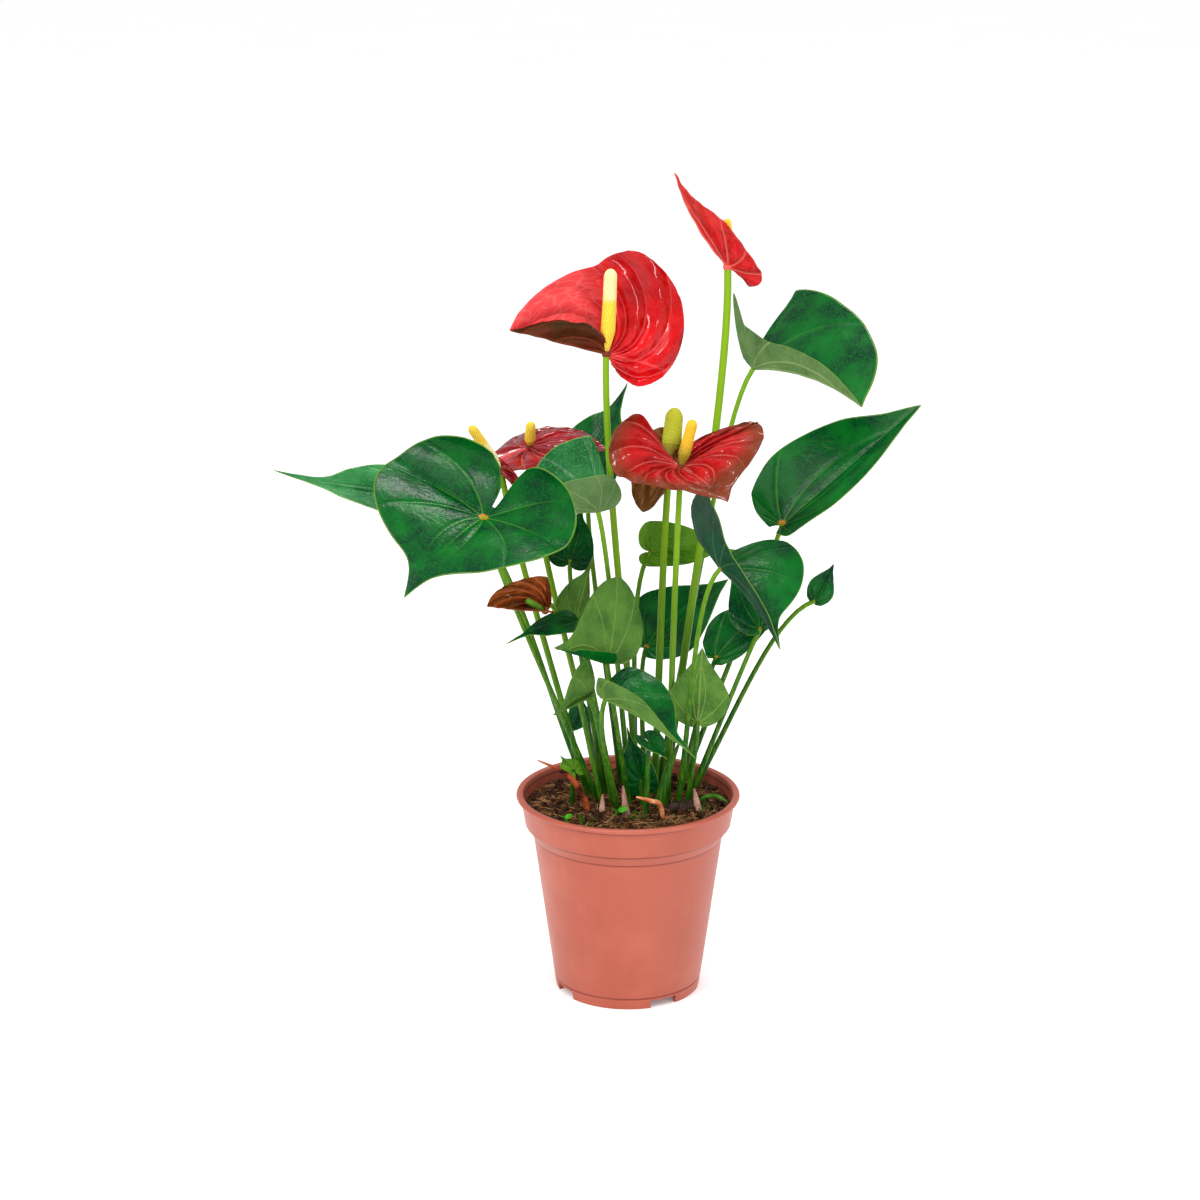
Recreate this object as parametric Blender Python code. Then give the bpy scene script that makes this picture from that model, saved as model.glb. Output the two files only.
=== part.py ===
"""Potted anthurium in a plain plastic nursery pot. Metres, +Z up, the viewer looks along +Y.

The plant is built the way it grew: every leaf is one body (blade and petiole), every bloom is a
green stem, a spathe and a spadix, and all the stems stand in plain holes in the potting soil.
Sizes below are millimetres. The pot's foot stands on z = 0 and its axis is x = y = 0.
"""
import math
import random

import bmesh
import bpy
from mathutils import Vector

MM = 0.001

# Pot: a 12 cm nursery pot, profile radii outside
POT_HEIGHT = 110.0
RIM_RADIUS = 60.0
BAND_RADIUS = 57.4
BAND_FOOT_RADIUS = 55.2
BAND_FOOT_Z = 93.0
STEP_RADIUS = 51.4
STEP_Z = 86.5
BASE_RADIUS = 38.8
FOOT_SEAM_Z = 6.0
WALL = 1.4
FLOOR_Z = 5.0
FOOT_WIDTH = 2.2
MIDDLE_PAD_RADIUS = 11.0
POT_SIDES = 32
NOTCH_ANGLES = (-60.5, 29.5, 119.5, 209.5)
NOTCH_WIDTH = 15.5
NOTCH_HEIGHT = 4.6
NOTCH_DEPTH = 8.0
DRAIN_WIDTH = 3.4
DRAIN_DEPTH = 6.0

# Soil
SOIL_LEVEL = 101.5
SOIL_MOUND = 5.0
SOIL_SIDES = 20
SOIL_RINGS = 4
SOIL_ROUGHNESS = 1.1
ROOT_DEPTH = 12.0

# Fits and sheet thicknesses
GAP = 0.35
LEAF_THICKNESS = 0.75
SPATHE_THICKNESS = 0.85
RIB_START = 60.0
LARGE_BLADE = 50.0
LARGE_BLADE_RINGS = 4
SMALL_BLADE_RINGS = 3

# Stems: the radii of a petiole from the soil up, and the ring at a bloom that its spathe grows from
PETIOLE_RADII = (1.75, 1.45, 1.25)
PETIOLE_SIDES = 5
PETIOLE_STEPS = 5
PETIOLE_INTO_BLADE = 0.7
STEM_SIDES = 5
STEM_STEPS = 7
STEM_FOOT = 1.08
STEM_TAPER = 0.12
COLLAR_HEIGHT = 2.4
COLLAR_WIDTH = 0.6

# Spadix: staggered florets as relief on a finger that swells from its foot and rounds off at its tip
SPADIX_SIDES = 8
SPADIX_RINGS = 11
SEAT_RINGS = 5
FLORET_RELIEF = 0.09
FINGER_FOOT = 0.42
FINGER_SWELL = 4.5
FINGER_TAPER = 0.18
FINGER_SHOULDER = 0.86
FINGER_BLUNT = 0.3

# Outlines of a blade about its petiole: angle from the tip, and reach as a share of the blade's length
OUTLINES = {
    "heart": ((0, 1.0), (6, 0.81), (18, 0.695), (40, 0.64), (66, 0.615), (94, 0.60), (122, 0.59),
              (152, 0.555), (172, 0.37)),
    # its front is folded away and its ear stands up behind the petiole
    "eared": ((0, 1.0), (6, 0.80), (22, 0.50), (55, 0.30), (88, 0.36), (114, 0.66), (136, 0.90),
              (154, 0.80), (168, 0.45)),
    # without back lobes
    "ovate": ((0, 1.0), (7, 0.83), (20, 0.68), (35, 0.54), (53, 0.42), (72, 0.31), (92, 0.245), (125, 0.20),
              (165, 0.15)),
    # broad up to a short tip
    "blunt": ((0, 1.0), (6, 0.95), (18, 0.88), (34, 0.76), (60, 0.645), (94, 0.61), (130, 0.58),
              (156, 0.52), (172, 0.34)),
    # a young leaf, broadest in front of its petiole
    "young": ((0, 1.0), (6, 0.84), (18, 0.70), (36, 0.59), (54, 0.52), (68, 0.43), (84, 0.30), (112, 0.20),
              (156, 0.15)),
    "spathe": ((0, 1.0), (7, 0.835), (20, 0.735), (42, 0.69), (66, 0.675), (92, 0.67), (120, 0.66),
               (148, 0.59), (170, 0.34)),
    # the closed bloom at the top
    "long": ((0, 1.0), (5, 0.88), (14, 0.76), (28, 0.68), (50, 0.60), (80, 0.53), (110, 0.50), (140, 0.48),
             (166, 0.36)),
    # the large bloom's two halves: one stands behind the spadix and wraps under it, one is narrow
    "wrapped": ((0, 1.0), (16, 0.96), (40, 0.90), (62, 0.87), (80, 0.96), (98, 1.06), (128, 0.95),
                (162, 0.77), (190, 0.60), (214, 0.42), (228, 0.20)),
    "narrow": ((0, 1.0), (6, 0.88), (20, 0.70), (36, 0.51), (58, 0.36), (84, 0.22), (112, 0.10)),
}

# Where the crown of the plant sits on the soil
CROWN = (1.0, 9.0)

# Leaves. attach and tip are where the petiole meets the blade and where the blade ends, face is the
# way its upper side looks. In each pair the first value is for the blade's half on the left of its
# tip and the second for the other half: wide scales the width, fold raises the half (degrees), curl
# cups it. arch bends the blade down towards the tip, lobe scales the back lobes and nod raises them,
# root is the petiole's place about the crown, neck is how the petiole comes in below the blade.
LEAVES = {
    "leaf_01": dict(attach=(-73.6, -58, 277), tip=(-111.2, -104, 248.7), face=(-.1, -.5, .85),
                    wide=(1.28, 1.5), fold=(6, 10), arch=34, lobe=(1.35, 1.4), nod=80, heel=6,
                    root=(-15, -14), neck=(5, 8, -30)),
    "leaf_02": dict(attach=(-95, 6, 270), tip=(-182.2, -20, 292.2), face=(0, -.55, .8), wide=(.36, .36),
                    fold=(14, 14), arch=-22, lobe=(.6, .6), root=(-20, -2), neck=(34, 2, -14)),
    "leaf_03": dict(attach=(-16.0, -23, 270.7), tip=(-67, -36, 269), face=(0, 0, 1), wide=(.72, 1.35),
                    fold=(70, 52), arch=10, lobe=(0.5, 0.3), nod=14, root=(1, -12), neck=(6, 2, -22)),
    "leaf_04": dict(attach=(-31, 27, 230.6), tip=(-24, 44, 259), face=(0, -.8, .5), wide=(0.6, 0.6),
                    fold=(12, 12), lobe=(.3, .3), root=(-9, -1), neck=(-2, 2, -20)),
    "leaf_05": dict(attach=(-21, 50, 268.5), tip=(-0.5, 66, 319), face=(-.6, -.7, .3), wide=(.8, .6),
                    fold=(12, 12), lobe=(.5, .5), root=(-4, 9), neck=(-4, 0, -22)),
    "leaf_06": dict(attach=(65.4, 34, 333.2), tip=(119.1, -14, 324), face=(0, .1, 1), wide=(1.26, 0.85),
                    fold=(42, 80), arch=36, lobe=(0.15, 0.15), nod=30, root=(14, 8), neck=(-16, 0, -22),
                    outline=("blunt", "eared")),
    "leaf_07": dict(attach=(81, 15, 253.6), tip=(155.6, 45, 311.5), face=(-.45, -.75, .5), wide=(1.0, 0.55),
                    fold=(10, 30), lobe=(0.4, 0.4), nod=10, outline=("ovate", "ovate"), root=(25, -1),
                    neck=(-6, 0, -20)),
    "leaf_08": dict(attach=(46.2, -44, 246.2), tip=(75.7, -78, 214), face=(.35, -.2, .9), wide=(1.4, 0.9),
                    fold=(16, 72), arch=24, lobe=(0.32, 0.8), nod=10, root=(25, -17), neck=(-14, 4, -14),
                    outline=("heart", "eared")),
    "leaf_09": dict(attach=(12, 22, 237), tip=(60, 20, 238), face=(0, -1, 0.1), wide=(0.6, 0.28),
                    fold=(12, 12), lobe=(.3, .3), nod=20, root=(2, -1), neck=(-14, 0, -20)),
    "leaf_10": dict(attach=(98.6, 12, 212.5), tip=(109.7, 25, 229.3), face=(.3, -.8, .5), wide=(0.75, 0.75),
                    fold=(10, 10), lobe=(.5, .5), root=(30, -3), neck=(-24, 0, -8),
                    outline=("young", "young")),
    "leaf_11": dict(attach=(68.6, -16, 205.7), tip=(54, 8, 232), face=(-.3, -.7, .6), wide=(0.75, 1.0),
                    fold=(14, 14), lobe=(.5, .5), root=(30, -10), neck=(-6, 0, -12),
                    outline=("young", "young")),
    "leaf_12": dict(attach=(46.2, -4, 186), tip=(86, 8, 216), face=(-0.2, -0.9, 0.4), wide=(0.8, 0.42),
                    fold=(14, 24), lobe=(0.5, 0.5), nod=10, root=(25, -8), neck=(-6, 0, -14),
                    outline=("young", "young")),
    "leaf_13": dict(attach=(10, 40, 178), tip=(55, 62, 210.3), face=(-.2, -.75, .6), wide=(0.95, 0.8),
                    fold=(14, 14), lobe=(.5, .5), root=(8, 8), neck=(-5, 0, -14),
                    outline=("young", "young")),
    "leaf_14": dict(attach=(-11.4, -46, 196.1), tip=(-38, -70, 212.5), face=(.1, .1, 1), wide=(0.3, 1.9),
                    fold=(60, 78), lobe=(0.2, 1.5), nod=10, root=(0, -19), neck=(3, 4, -22)),
    "leaf_15": dict(attach=(-28.1, -8, 208), tip=(-19, 8, 238.5), face=(-.2, .8, .4), wide=(.34, .62),
                    fold=(16, 16), lobe=(.3, .3), root=(-12, -4), neck=(2, 0, -16)),
    "leaf_16": dict(attach=(-26.3, -39, 216.5), tip=(-62.7, -60, 211.2), face=(0, -.3, .95),
                    wide=(0.4, 0.34), fold=(0, 14), arch=34, lobe=(.05, .05), root=(-7, -12),
                    neck=(4, 0, -18)),
    "leaf_17": dict(attach=(-20.7, -44, 177.6), tip=(-38.8, -58, 172.5), face=(.9, 0.1, 1), wide=(0.3, 1.8),
                    fold=(50, 76), lobe=(0.3, 0.5), nod=20, root=(-8, -20), neck=(5, 0, -10)),
    "leaf_18": dict(attach=(-12.4, -58, 180.6), tip=(33.4, -86, 159.1), face=(.1, -.1, 1), wide=(0.8, 0.5),
                    fold=(24, 64), arch=20, lobe=(0.25, 0.2), nod=40, root=(-6, -26), neck=(-6, 0, -16)),
    "leaf_19": dict(attach=(36.3, -19, 155.2), tip=(38.5, -15.5, 195.3), face=(0, 1, 0.1), wide=(1.0, 1.0),
                    fold=(16, 16), lobe=(0.5, 0.5), root=(30, -17), neck=(0, 0, -14),
                    outline=("young", "young")),
    "leaf_20": dict(attach=(-22.5, 8, 154.1), tip=(-33.2, 4, 138.6), face=(-.6, -.6, .4), wide=(0.8, 0.8),
                    fold=(10, 10), lobe=(0.2, 0.2), root=(-16, 0.5), neck=(1, 0, -10)),
    "leaf_22": dict(attach=(10.5, -30, 148), tip=(20, -42, 143), face=(0, -.2, .9), wide=(.8, .8),
                    fold=(20, 20), lobe=(1.0, 1.0), root=(8, -33), neck=(0, 0, -10)),
    "leaf_23": dict(attach=(7, -12, 120), tip=(-1, -14, 151), face=(-.2, -.9, .2), wide=(.5, .5),
                    fold=(14, 14), lobe=(.5, .5), root=(7, -21), neck=(0, 0, -6)),
    "leaf_24": dict(attach=(-29.4, -10, 125.4), tip=(-36.3, -3, 131.4), face=(0, -.4, .9), wide=(0.9, 0.9),
                    fold=(6, 6), lobe=(1.0, 1.0), root=(-31, -12), neck=(0, 0, -6)),
}

# Blooms. The first values are as for a leaf, spadix is where its tip ends, stem is the radius.
BLOOMS = {
    "flower_1": dict(attach=(-11.9, 0, 348.6), tip=(-60.9, -10, 363.4), face=(.1, .1, 1), wide=(1.0, 1.0),
                     outline=("narrow", "wrapped"), fold=(60, 76), curl=(0, 8), lobe=(1.0, 1.0), rib=.6,
                     root=(5, -9), neck=(-1, 0, -60), spadix=(-9.4, -3, 393.3), fat=3.8, stem=1.75),
    "flower_2": dict(attach=(50.5, 10, 392), tip=(23, 6, 440.9), face=(.9, 0, .45), wide=(0.46, 0.46),
                     outline=("long", "long"), fold=(60, 60), arch=-26, lobe=(0.75, 0.75), nod=-10, rib=.5,
                     root=(19, 2), neck=(2, 0, -60), spadix=(50, 10, 417), fat=2.4, stem=2.0),
    "flower_3": dict(attach=(26.5, -20, 293.8), tip=(49.2, -58, 285.7), face=(0, -.3, .95), wide=(1.6, 1.3),
                     fold=(15, 12), arch=6, lobe=(0.55, 1.7), nod=50, heel=8, rib=.8, root=(20, -12),
                     neck=(-3, 0, -60), spadix=(32.5, -22, 319.1), fat=3.2, stem=1.6),
    "flower_4": dict(attach=(21.8, 16, 290), tip=(7.1, 8, 262.5), face=(-.5, -.6, .4), wide=(.8, .8),
                     fold=(20, 20), curl=(20, 20), lobe=(.8, .8), nod=-10, rib=.5, root=(13, -5),
                     neck=(-4, 0, -50), spadix=(24.3, 20, 315.8), fat=5.4, stem=1.9, young=True),
    "flower_5": dict(attach=(-52, 22, 294), tip=(-7, 10, 295), face=(0, -.1, 1), wide=(.85, .9),
                     fold=(4, -6), arch=26, lobe=(1.0, 1.0), nod=-10, rib=.6, root=(-14, 4),
                     neck=(2, 0, -50), spadix=(-51.1, 16, 309), fat=2.9, stem=1.6),
    "flower_6": dict(attach=(-66, -14, 291), tip=(-45.7, -18, 270), face=(.5, -.1, .8), wide=(0.4, 0.4),
                     fold=(10, 10), arch=10, lobe=(1.0, 1.0), rib=.4, root=(-21, -7), neck=(6, 0, -40),
                     spadix=(-81, -24, 316.1), fat=2.8, stem=1.6),
    "flower_7": dict(attach=(-43, -48, 225), tip=(-72.3, -56, 230.1), face=(0, -.1, 1), wide=(.5, .85),
                     fold=(20, 58), lobe=(.25, .25), nod=20, rib=.3, root=(-13, -21), neck=(7, 24, 12),
                     spadix=(-52.6, -54, 232.7), fat=1.7, stem=1.4, young=True),
}

# Small shoots and sheaths at the crown: route of each in space and its radii
SHOOTS = {
    "shoot_new": dict(route=((15, -16, 90), (16, -16, 106), (21, -14, 126), (27, -13, 142)),
                      radii=(3.4, 3.2, 2.2, 0.9)),
    "sheath_pink_1": dict(route=((-14, -23, 92), (-14, -23, 104), (-13.6, -22, 116)),
                          radii=(2.0, 2.2, 0.8)),
    "sheath_pink_2": dict(route=((-1, -26, 92), (-1, -26, 104), (-3, -25, 122)), radii=(2.2, 2.6, 0.8)),
    "sheath_pink_3": dict(route=((37, -14, 92), (37, -14, 104), (35, -13, 116)), radii=(2.0, 2.4, 0.8)),
    "bract_dry": dict(route=((-22, -19, 92), (-22, -19, 108), (-31, -22, 126), (-48, -24, 136)),
                      radii=(2.2, 2.4, 2.0, 0.6)),
    "bract_orange": dict(route=((20, -28, 92), (17, -30, 112), (12, -32, 116), (4, -34, 119)),
                         radii=(1.4, 1.6, 1.8, 0.7)),
    "weed_1": dict(route=((-7, -29, 94), (-7, -29, 106), (-5, -31, 110)), radii=(0.8, 1.0, 2.6)),
    "weed_2": dict(route=((-32, -40, 94), (-32, -40, 104), (-33, -41, 110)), radii=(0.7, 0.9, 2.2)),
    "grass_blade": dict(route=((37, -5, 94), (38, -5, 106), (46, -8, 110), (53, -12, 108)),
                        radii=(0.8, 1.2, 1.6, 0.6)),
}


def remove_everything():
    for obj in list(bpy.data.objects):
        bpy.data.objects.remove(obj, do_unlink=True)


def material(name, colour, roughness, coat=0.0):
    mat = bpy.data.materials.new(name)
    mat.use_nodes = True
    shader = mat.node_tree.nodes["Principled BSDF"]
    shader.inputs["Base Color"].default_value = (*colour, 1.0)
    shader.inputs["Roughness"].default_value = roughness
    shader.inputs["Coat Weight"].default_value = coat
    mat.diffuse_color = (*colour, 1.0)
    return mat


def solid(name, points, faces):
    """One closed body from points in millimetres."""
    mesh = bpy.data.meshes.new(name)
    mesh.from_pydata([tuple(c * MM for c in p) for p in points], [], faces)
    bm = bmesh.new()
    bm.from_mesh(mesh)
    bmesh.ops.recalc_face_normals(bm, faces=bm.faces)
    bmesh.ops.triangulate(bm, faces=bm.faces, quad_method='FIXED')
    bm.to_mesh(mesh)
    bm.free()
    obj = bpy.data.objects.new(name, mesh)
    bpy.context.scene.collection.objects.link(obj)
    return obj


def combine(body, tool, operation):
    """Fuses a tool into a body or cuts it away, then deletes the tool."""
    boolean = body.modifiers.new("boolean", 'BOOLEAN')
    boolean.operation = operation
    boolean.object = tool
    # the thin waved sheets come out closed with the manifold solver, and it is quick
    boolean.solver = 'MANIFOLD'
    depsgraph = bpy.context.evaluated_depsgraph_get()
    mesh = bpy.data.meshes.new_from_object(body.evaluated_get(depsgraph))
    body.modifiers.remove(boolean)
    old = body.data
    body.data = mesh
    bpy.data.meshes.remove(old)
    mesh.name = body.name
    spent = tool.data
    bpy.data.objects.remove(tool, do_unlink=True)
    bpy.data.meshes.remove(spent)


def finish(obj, mat):
    mesh = obj.data
    bm = bmesh.new()
    bm.from_mesh(mesh)
    bmesh.ops.triangulate(bm, faces=bm.faces)
    bm.to_mesh(mesh)
    bm.free()
    mesh.materials.clear()
    mesh.materials.append(mat)
    for polygon in mesh.polygons:
        polygon.use_smooth = True


def curve_point(controls, t):
    """A point on the cubic curve through its four controls' hull."""
    a, b, c, d = controls
    s = 1 - t
    return a * s ** 3 + b * 3 * s * s * t + c * 3 * s * t * t + d * t ** 3


def spread(values, t):
    """Reads a short row of values at t from 0 to 1."""
    place = t * (len(values) - 1)
    i = min(int(place), len(values) - 2)
    return values[i] + (values[i + 1] - values[i]) * (place - i)


def tube(name, centres, radii, sides, grow=0.0, bump=0.0):
    """A closed round rod along a row of centres; bump raises every second point of its surface."""
    points = []
    faces = []
    side = Vector((1, 0, 0))
    for i, centre in enumerate(centres):
        before = centres[max(i - 1, 0)]
        after = centres[min(i + 1, len(centres) - 1)]
        along = (after - before).normalized()
        side = (side - along * side.dot(along)).normalized()
        other = along.cross(side)
        for k in range(sides):
            angle = 2 * math.pi * k / sides
            reach = radii[i] * (1 + bump * (1 if (i + k) % 2 else -1)) + grow
            points.append(centre + (side * math.cos(angle) + other * math.sin(angle)) * reach)
    for i in range(len(centres) - 1):
        for k in range(sides):
            a = i * sides + k
            b = i * sides + (k + 1) % sides
            faces.append((a, b, b + sides, a + sides))
    faces.append(tuple(range(sides))[::-1])
    last = (len(centres) - 1) * sides
    faces.append(tuple(range(last, last + sides)))
    return solid(name, points, faces)


def stem_line(root, attach, neck, steps, over=0.0):
    """Centres of a stem from below the soil to where it meets its blade."""
    foot = Vector((CROWN[0] + root[0], CROWN[1] + root[1], SOIL_LEVEL))
    head = Vector(attach)
    rise = (head - foot)
    controls = (foot, foot + rise * 0.33, head + Vector(neck), head)
    line = [foot - Vector((0, 0, ROOT_DEPTH))]
    line += [curve_point(controls, i / steps) for i in range(steps + 1)]
    if over:
        line[-1] = head - Vector(neck).normalized() * over
    return line


def reach_at(outline, degrees):
    """How far the outline reaches at an angle from the tip, as a share of the blade's length."""
    for (a0, r0), (a1, r1) in zip(outline, outline[1:]):
        if degrees <= a1:
            return r0 + (r1 - r0) * (degrees - a0) / (a1 - a0)
    return outline[-1][1]


def arc(length, start, turn):
    """Run and rise of a line that starts at an angle and turns steadily along its length."""
    if abs(turn) < 1e-6:
        return length * math.cos(start), length * math.sin(start)
    bend = turn * length
    run = (math.sin(start + bend) - math.sin(start)) / turn
    rise = (math.cos(start) - math.cos(start + bend)) / turn
    return run, rise


def side_outlines(row, usual):
    """The outline of each half of a blade."""
    return [OUTLINES[name] for name in row.get("outline", (usual, usual))]


def blade_local(row, outlines, degrees, share):
    """A point of the bent blade, for a blade of length one with its petiole at the origin."""
    side = 0 if degrees >= 0 else 1
    reach = reach_at(outlines[side], abs(degrees)) * share
    angle = math.radians(abs(degrees))
    along = reach * math.cos(angle)
    across = reach * math.sin(angle) * row["wide"][side]
    if along >= 0:
        turn = -math.radians(row.get("arch", 0))
        run, rise = arc(along, 0.0, turn)
        tilt = turn * along
    else:
        back = -along * row["lobe"][side]
        heel = math.radians(row.get("heel", 0))
        turn = 2 * math.radians(row.get("nod", 0))
        run, rise = arc(back, heel, turn)
        run = -run
        tilt = -heel - turn * back
    curl = row.get("curl", (0, 0))[side]
    out, lift = arc(across, math.radians(row["fold"][side]), 2 * math.radians(curl))
    sign = 1 if side == 0 else -1
    return Vector((run - math.sin(tilt) * lift, sign * out, rise + math.cos(tilt) * lift))


def blade_frame(row, outlines):
    """The map from the local blade to its place on the plant."""
    attach = Vector(row["attach"])
    axis = Vector(row["tip"]) - attach
    local_tip = blade_local(row, outlines, 0, 1)
    scale = axis.length / local_tip.length
    axis.normalize()
    face = Vector(row["face"])
    face = (face - axis * face.dot(axis)).normalized()
    across = face.cross(axis)
    tip_run = local_tip.x / local_tip.length
    tip_rise = local_tip.z / local_tip.length

    def place(point):
        forward = point.x * tip_run + point.z * tip_rise
        upward = point.z * tip_run - point.x * tip_rise
        return attach + (axis * forward + across * point.y + face * upward) * scale
    return place


def blade(name, row, usual, thickness, rib=0.0):
    """A blade or spathe: a waved sheet with real thickness, heart-shaped about its petiole."""
    outlines = side_outlines(row, usual)
    length = (Vector(row["tip"]) - Vector(row["attach"])).length
    rings = LARGE_BLADE_RINGS if length > LARGE_BLADE else SMALL_BLADE_RINGS
    place = blade_frame(row, outlines)
    columns = [-float(a) for a, r in reversed(outlines[1][1:])] + [0.0]
    columns += [float(a) for a, r in outlines[0][1:]]
    count = len(columns)
    sheet = [Vector(row["attach"])]
    for ring in range(1, rings + 1):
        for degrees in columns:
            sheet.append(place(blade_local(row, outlines, degrees, ring / rings)))
    # the first ring keeps every second column, so fewer slivers meet at the petiole
    triangles = []
    for k in range(0, count - 1, 2):
        a = 1 + k
        triangles.append((0, a, a + 2))
        triangles.append((a, a + count, a + count + 1))
        triangles.append((a, a + count + 1, a + 2))
        triangles.append((a + 2, a + count + 1, a + count + 2))
    for ring in range(1, rings - 1):
        for k in range(count - 1):
            a = 1 + ring * count + k
            triangles.append((a, a + count, a + count + 1))
            triangles.append((a, a + count + 1, a + 1))
    normals = [Vector((0, 0, 0)) for p in sheet]
    for a, b, c in triangles:
        normal = (sheet[b] - sheet[a]).cross(sheet[c] - sheet[a]).normalized()
        for i in (a, b, c):
            normals[i] += normal
    for normal in normals:
        normal.normalize()
    # ribs run out from the petiole: every second column stands proud, less so beside the midrib
    for i in range(1, len(sheet)):
        ring, k = divmod(i - 1, count)
        ridge = 0.5 if k % 2 else -0.5
        ridge *= min(1.0, abs(columns[k]) / RIB_START)
        sheet[i] = sheet[i] + normals[i] * rib * ridge * math.sin(math.pi * (ring + 1) / rings)
    # the thickness lies below the sheet, so that the fold along the midrib doesn't cross itself
    points = sheet + [p - n * thickness for p, n in zip(sheet, normals)]
    under = len(sheet)
    faces = list(triangles)
    faces += [(c + under, b + under, a + under) for a, b, c in triangles]
    border = [0] + [1 + r * count for r in range(rings)]
    border += [1 + (rings - 1) * count + k for k in range(1, count)]
    border += [r * count for r in range(rings - 1, 0, -1)]
    for a, b in zip(border, border[1:] + border[:1]):
        faces.append((a, a + under, b + under))
        faces.append((a, b + under, b))
    used = sorted({i for face in faces for i in face})
    renumber = {old: new for new, old in enumerate(used)}
    return solid(name, [points[i] for i in used], [tuple(renumber[i] for i in face) for face in faces])


def leaf(name, row):
    """A blade and its petiole in one body."""
    body = blade(name, row, "heart", LEAF_THICKNESS)
    line = stem_line(row["root"], row["attach"], row["neck"], PETIOLE_STEPS, PETIOLE_INTO_BLADE)
    radii = [spread(PETIOLE_RADII, i / (len(line) - 1)) for i in range(len(line))]
    combine(body, tube("petiole", line, radii, PETIOLE_SIDES), 'UNION')
    return body, line, radii


def bloom_stem(name, row, grow=0.0):
    head = Vector(row["attach"])
    neck = Vector(row["neck"]).normalized()
    stop = head + neck * (COLLAR_HEIGHT / 2 + GAP - grow)
    line = stem_line(row["root"], stop, row["neck"], STEM_STEPS)
    radii = [row["stem"] * (STEM_FOOT - STEM_TAPER * i / (len(line) - 1)) for i in range(len(line))]
    return tube(name, line, radii, STEM_SIDES, grow), line, radii


def spadix_line(row, rings, grow=0.0):
    """Centres and radii of the finger that the florets sit on."""
    head = Vector(row["attach"])
    axis = (Vector(row["spadix"]) - head).normalized()
    start = head + axis * (COLLAR_HEIGHT / 2 + GAP - grow)
    length = (Vector(row["spadix"]) - start).length
    centres = []
    radii = []
    for i in range(rings + 1):
        t = i / rings
        centres.append(start + axis * length * t)
        swell = FINGER_FOOT + (1 - FINGER_FOOT) * min(1.0, t * FINGER_SWELL)
        past = max(0.0, t - FINGER_SHOULDER) / (1 - FINGER_SHOULDER)
        close = max(math.sqrt(1 - min(1.0, past) ** 2), FINGER_BLUNT)
        radii.append(row["fat"] * swell * (1 - FINGER_TAPER * t) * close)
    return centres, radii


def spadix(name, row):
    """The spike of florets: staggered bumps on a slightly tapered finger."""
    centres, radii = spadix_line(row, SPADIX_RINGS)
    return tube(name, centres, radii, SPADIX_SIDES, bump=FLORET_RELIEF)


def spadix_seat(row):
    """The plain finger, a gap wider all round, that a spathe is cut clear of."""
    centres, radii = spadix_line(row, SEAT_RINGS, GAP)
    radii = [r * (1 + FLORET_RELIEF) for r in radii]
    return tube("seat", centres, radii, SPADIX_SIDES, GAP)


def spathe(name, row):
    """The coloured blade with its collar, cut clear of the spadix above it and the stem below."""
    body = blade(name, row, "spathe", SPATHE_THICKNESS, rib=row["rib"])
    head = Vector(row["attach"])
    neck = Vector(row["neck"]).normalized() * (COLLAR_HEIGHT / 2)
    axis = (Vector(row["spadix"]) - head).normalized() * (COLLAR_HEIGHT / 2)
    reach = row["stem"] + COLLAR_WIDTH
    collar = tube("collar", [head + neck, head, head + axis], [reach, reach, reach], STEM_SIDES)
    combine(body, collar, 'UNION')
    combine(body, spadix_seat(row), 'DIFFERENCE')
    stalk, line, radii = bloom_stem("socket", row, GAP)
    combine(body, stalk, 'DIFFERENCE')
    return body


def revolve(name, profile, sides):
    """A closed ring body turned about the pot's axis; the profile is a closed loop or touches it."""
    points = []
    faces = []
    ring_of = []
    for radius, z in profile:
        if radius < 1e-6:
            ring_of.append([len(points)] * sides)
            points.append(Vector((0, 0, z)))
            continue
        ring_of.append(list(range(len(points), len(points) + sides)))
        for k in range(sides):
            angle = 2 * math.pi * k / sides
            points.append(Vector((radius * math.cos(angle), radius * math.sin(angle), z)))
    for a, b in zip(ring_of, ring_of[1:]):
        for k in range(sides):
            n = (k + 1) % sides
            quad = [a[k], a[n], b[n], b[k]]
            face = [v for i, v in enumerate(quad) if v not in quad[:i]]
            if len(face) > 2:
                faces.append(tuple(face))
    return solid(name, points, faces)


def box(name, centre, size, angle):
    cx, cy, cz = centre
    points = []
    for sx in (-0.5, 0.5):
        for sy in (-0.5, 0.5):
            for sz in (-0.5, 0.5):
                x = sx * size[0]
                y = sy * size[1]
                px = cx + x * math.cos(angle) - y * math.sin(angle)
                py = cy + x * math.sin(angle) + y * math.cos(angle)
                points.append(Vector((px, py, cz + sz * size[2])))
    faces = [(0, 1, 3, 2), (4, 6, 7, 5), (0, 4, 5, 1), (2, 3, 7, 6), (0, 2, 6, 4), (1, 5, 7, 3)]
    return solid(name, points, faces)


def inner_radius(z):
    """The pot's inside radius at a height."""
    if z < STEP_Z - 1:
        return BASE_RADIUS + (STEP_RADIUS - 1.0 - BASE_RADIUS) * z / STEP_Z - WALL
    if z < BAND_FOOT_Z:
        rise = (z - STEP_Z + 1) / (BAND_FOOT_Z - STEP_Z + 1)
        return STEP_RADIUS - 1.0 - WALL + (BAND_FOOT_RADIUS - STEP_RADIUS + 1.0) * rise
    rise = (z - BAND_FOOT_Z) / (POT_HEIGHT - BAND_FOOT_Z)
    return BAND_FOOT_RADIUS + (BAND_RADIUS - BAND_FOOT_RADIUS) * rise - WALL


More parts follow.
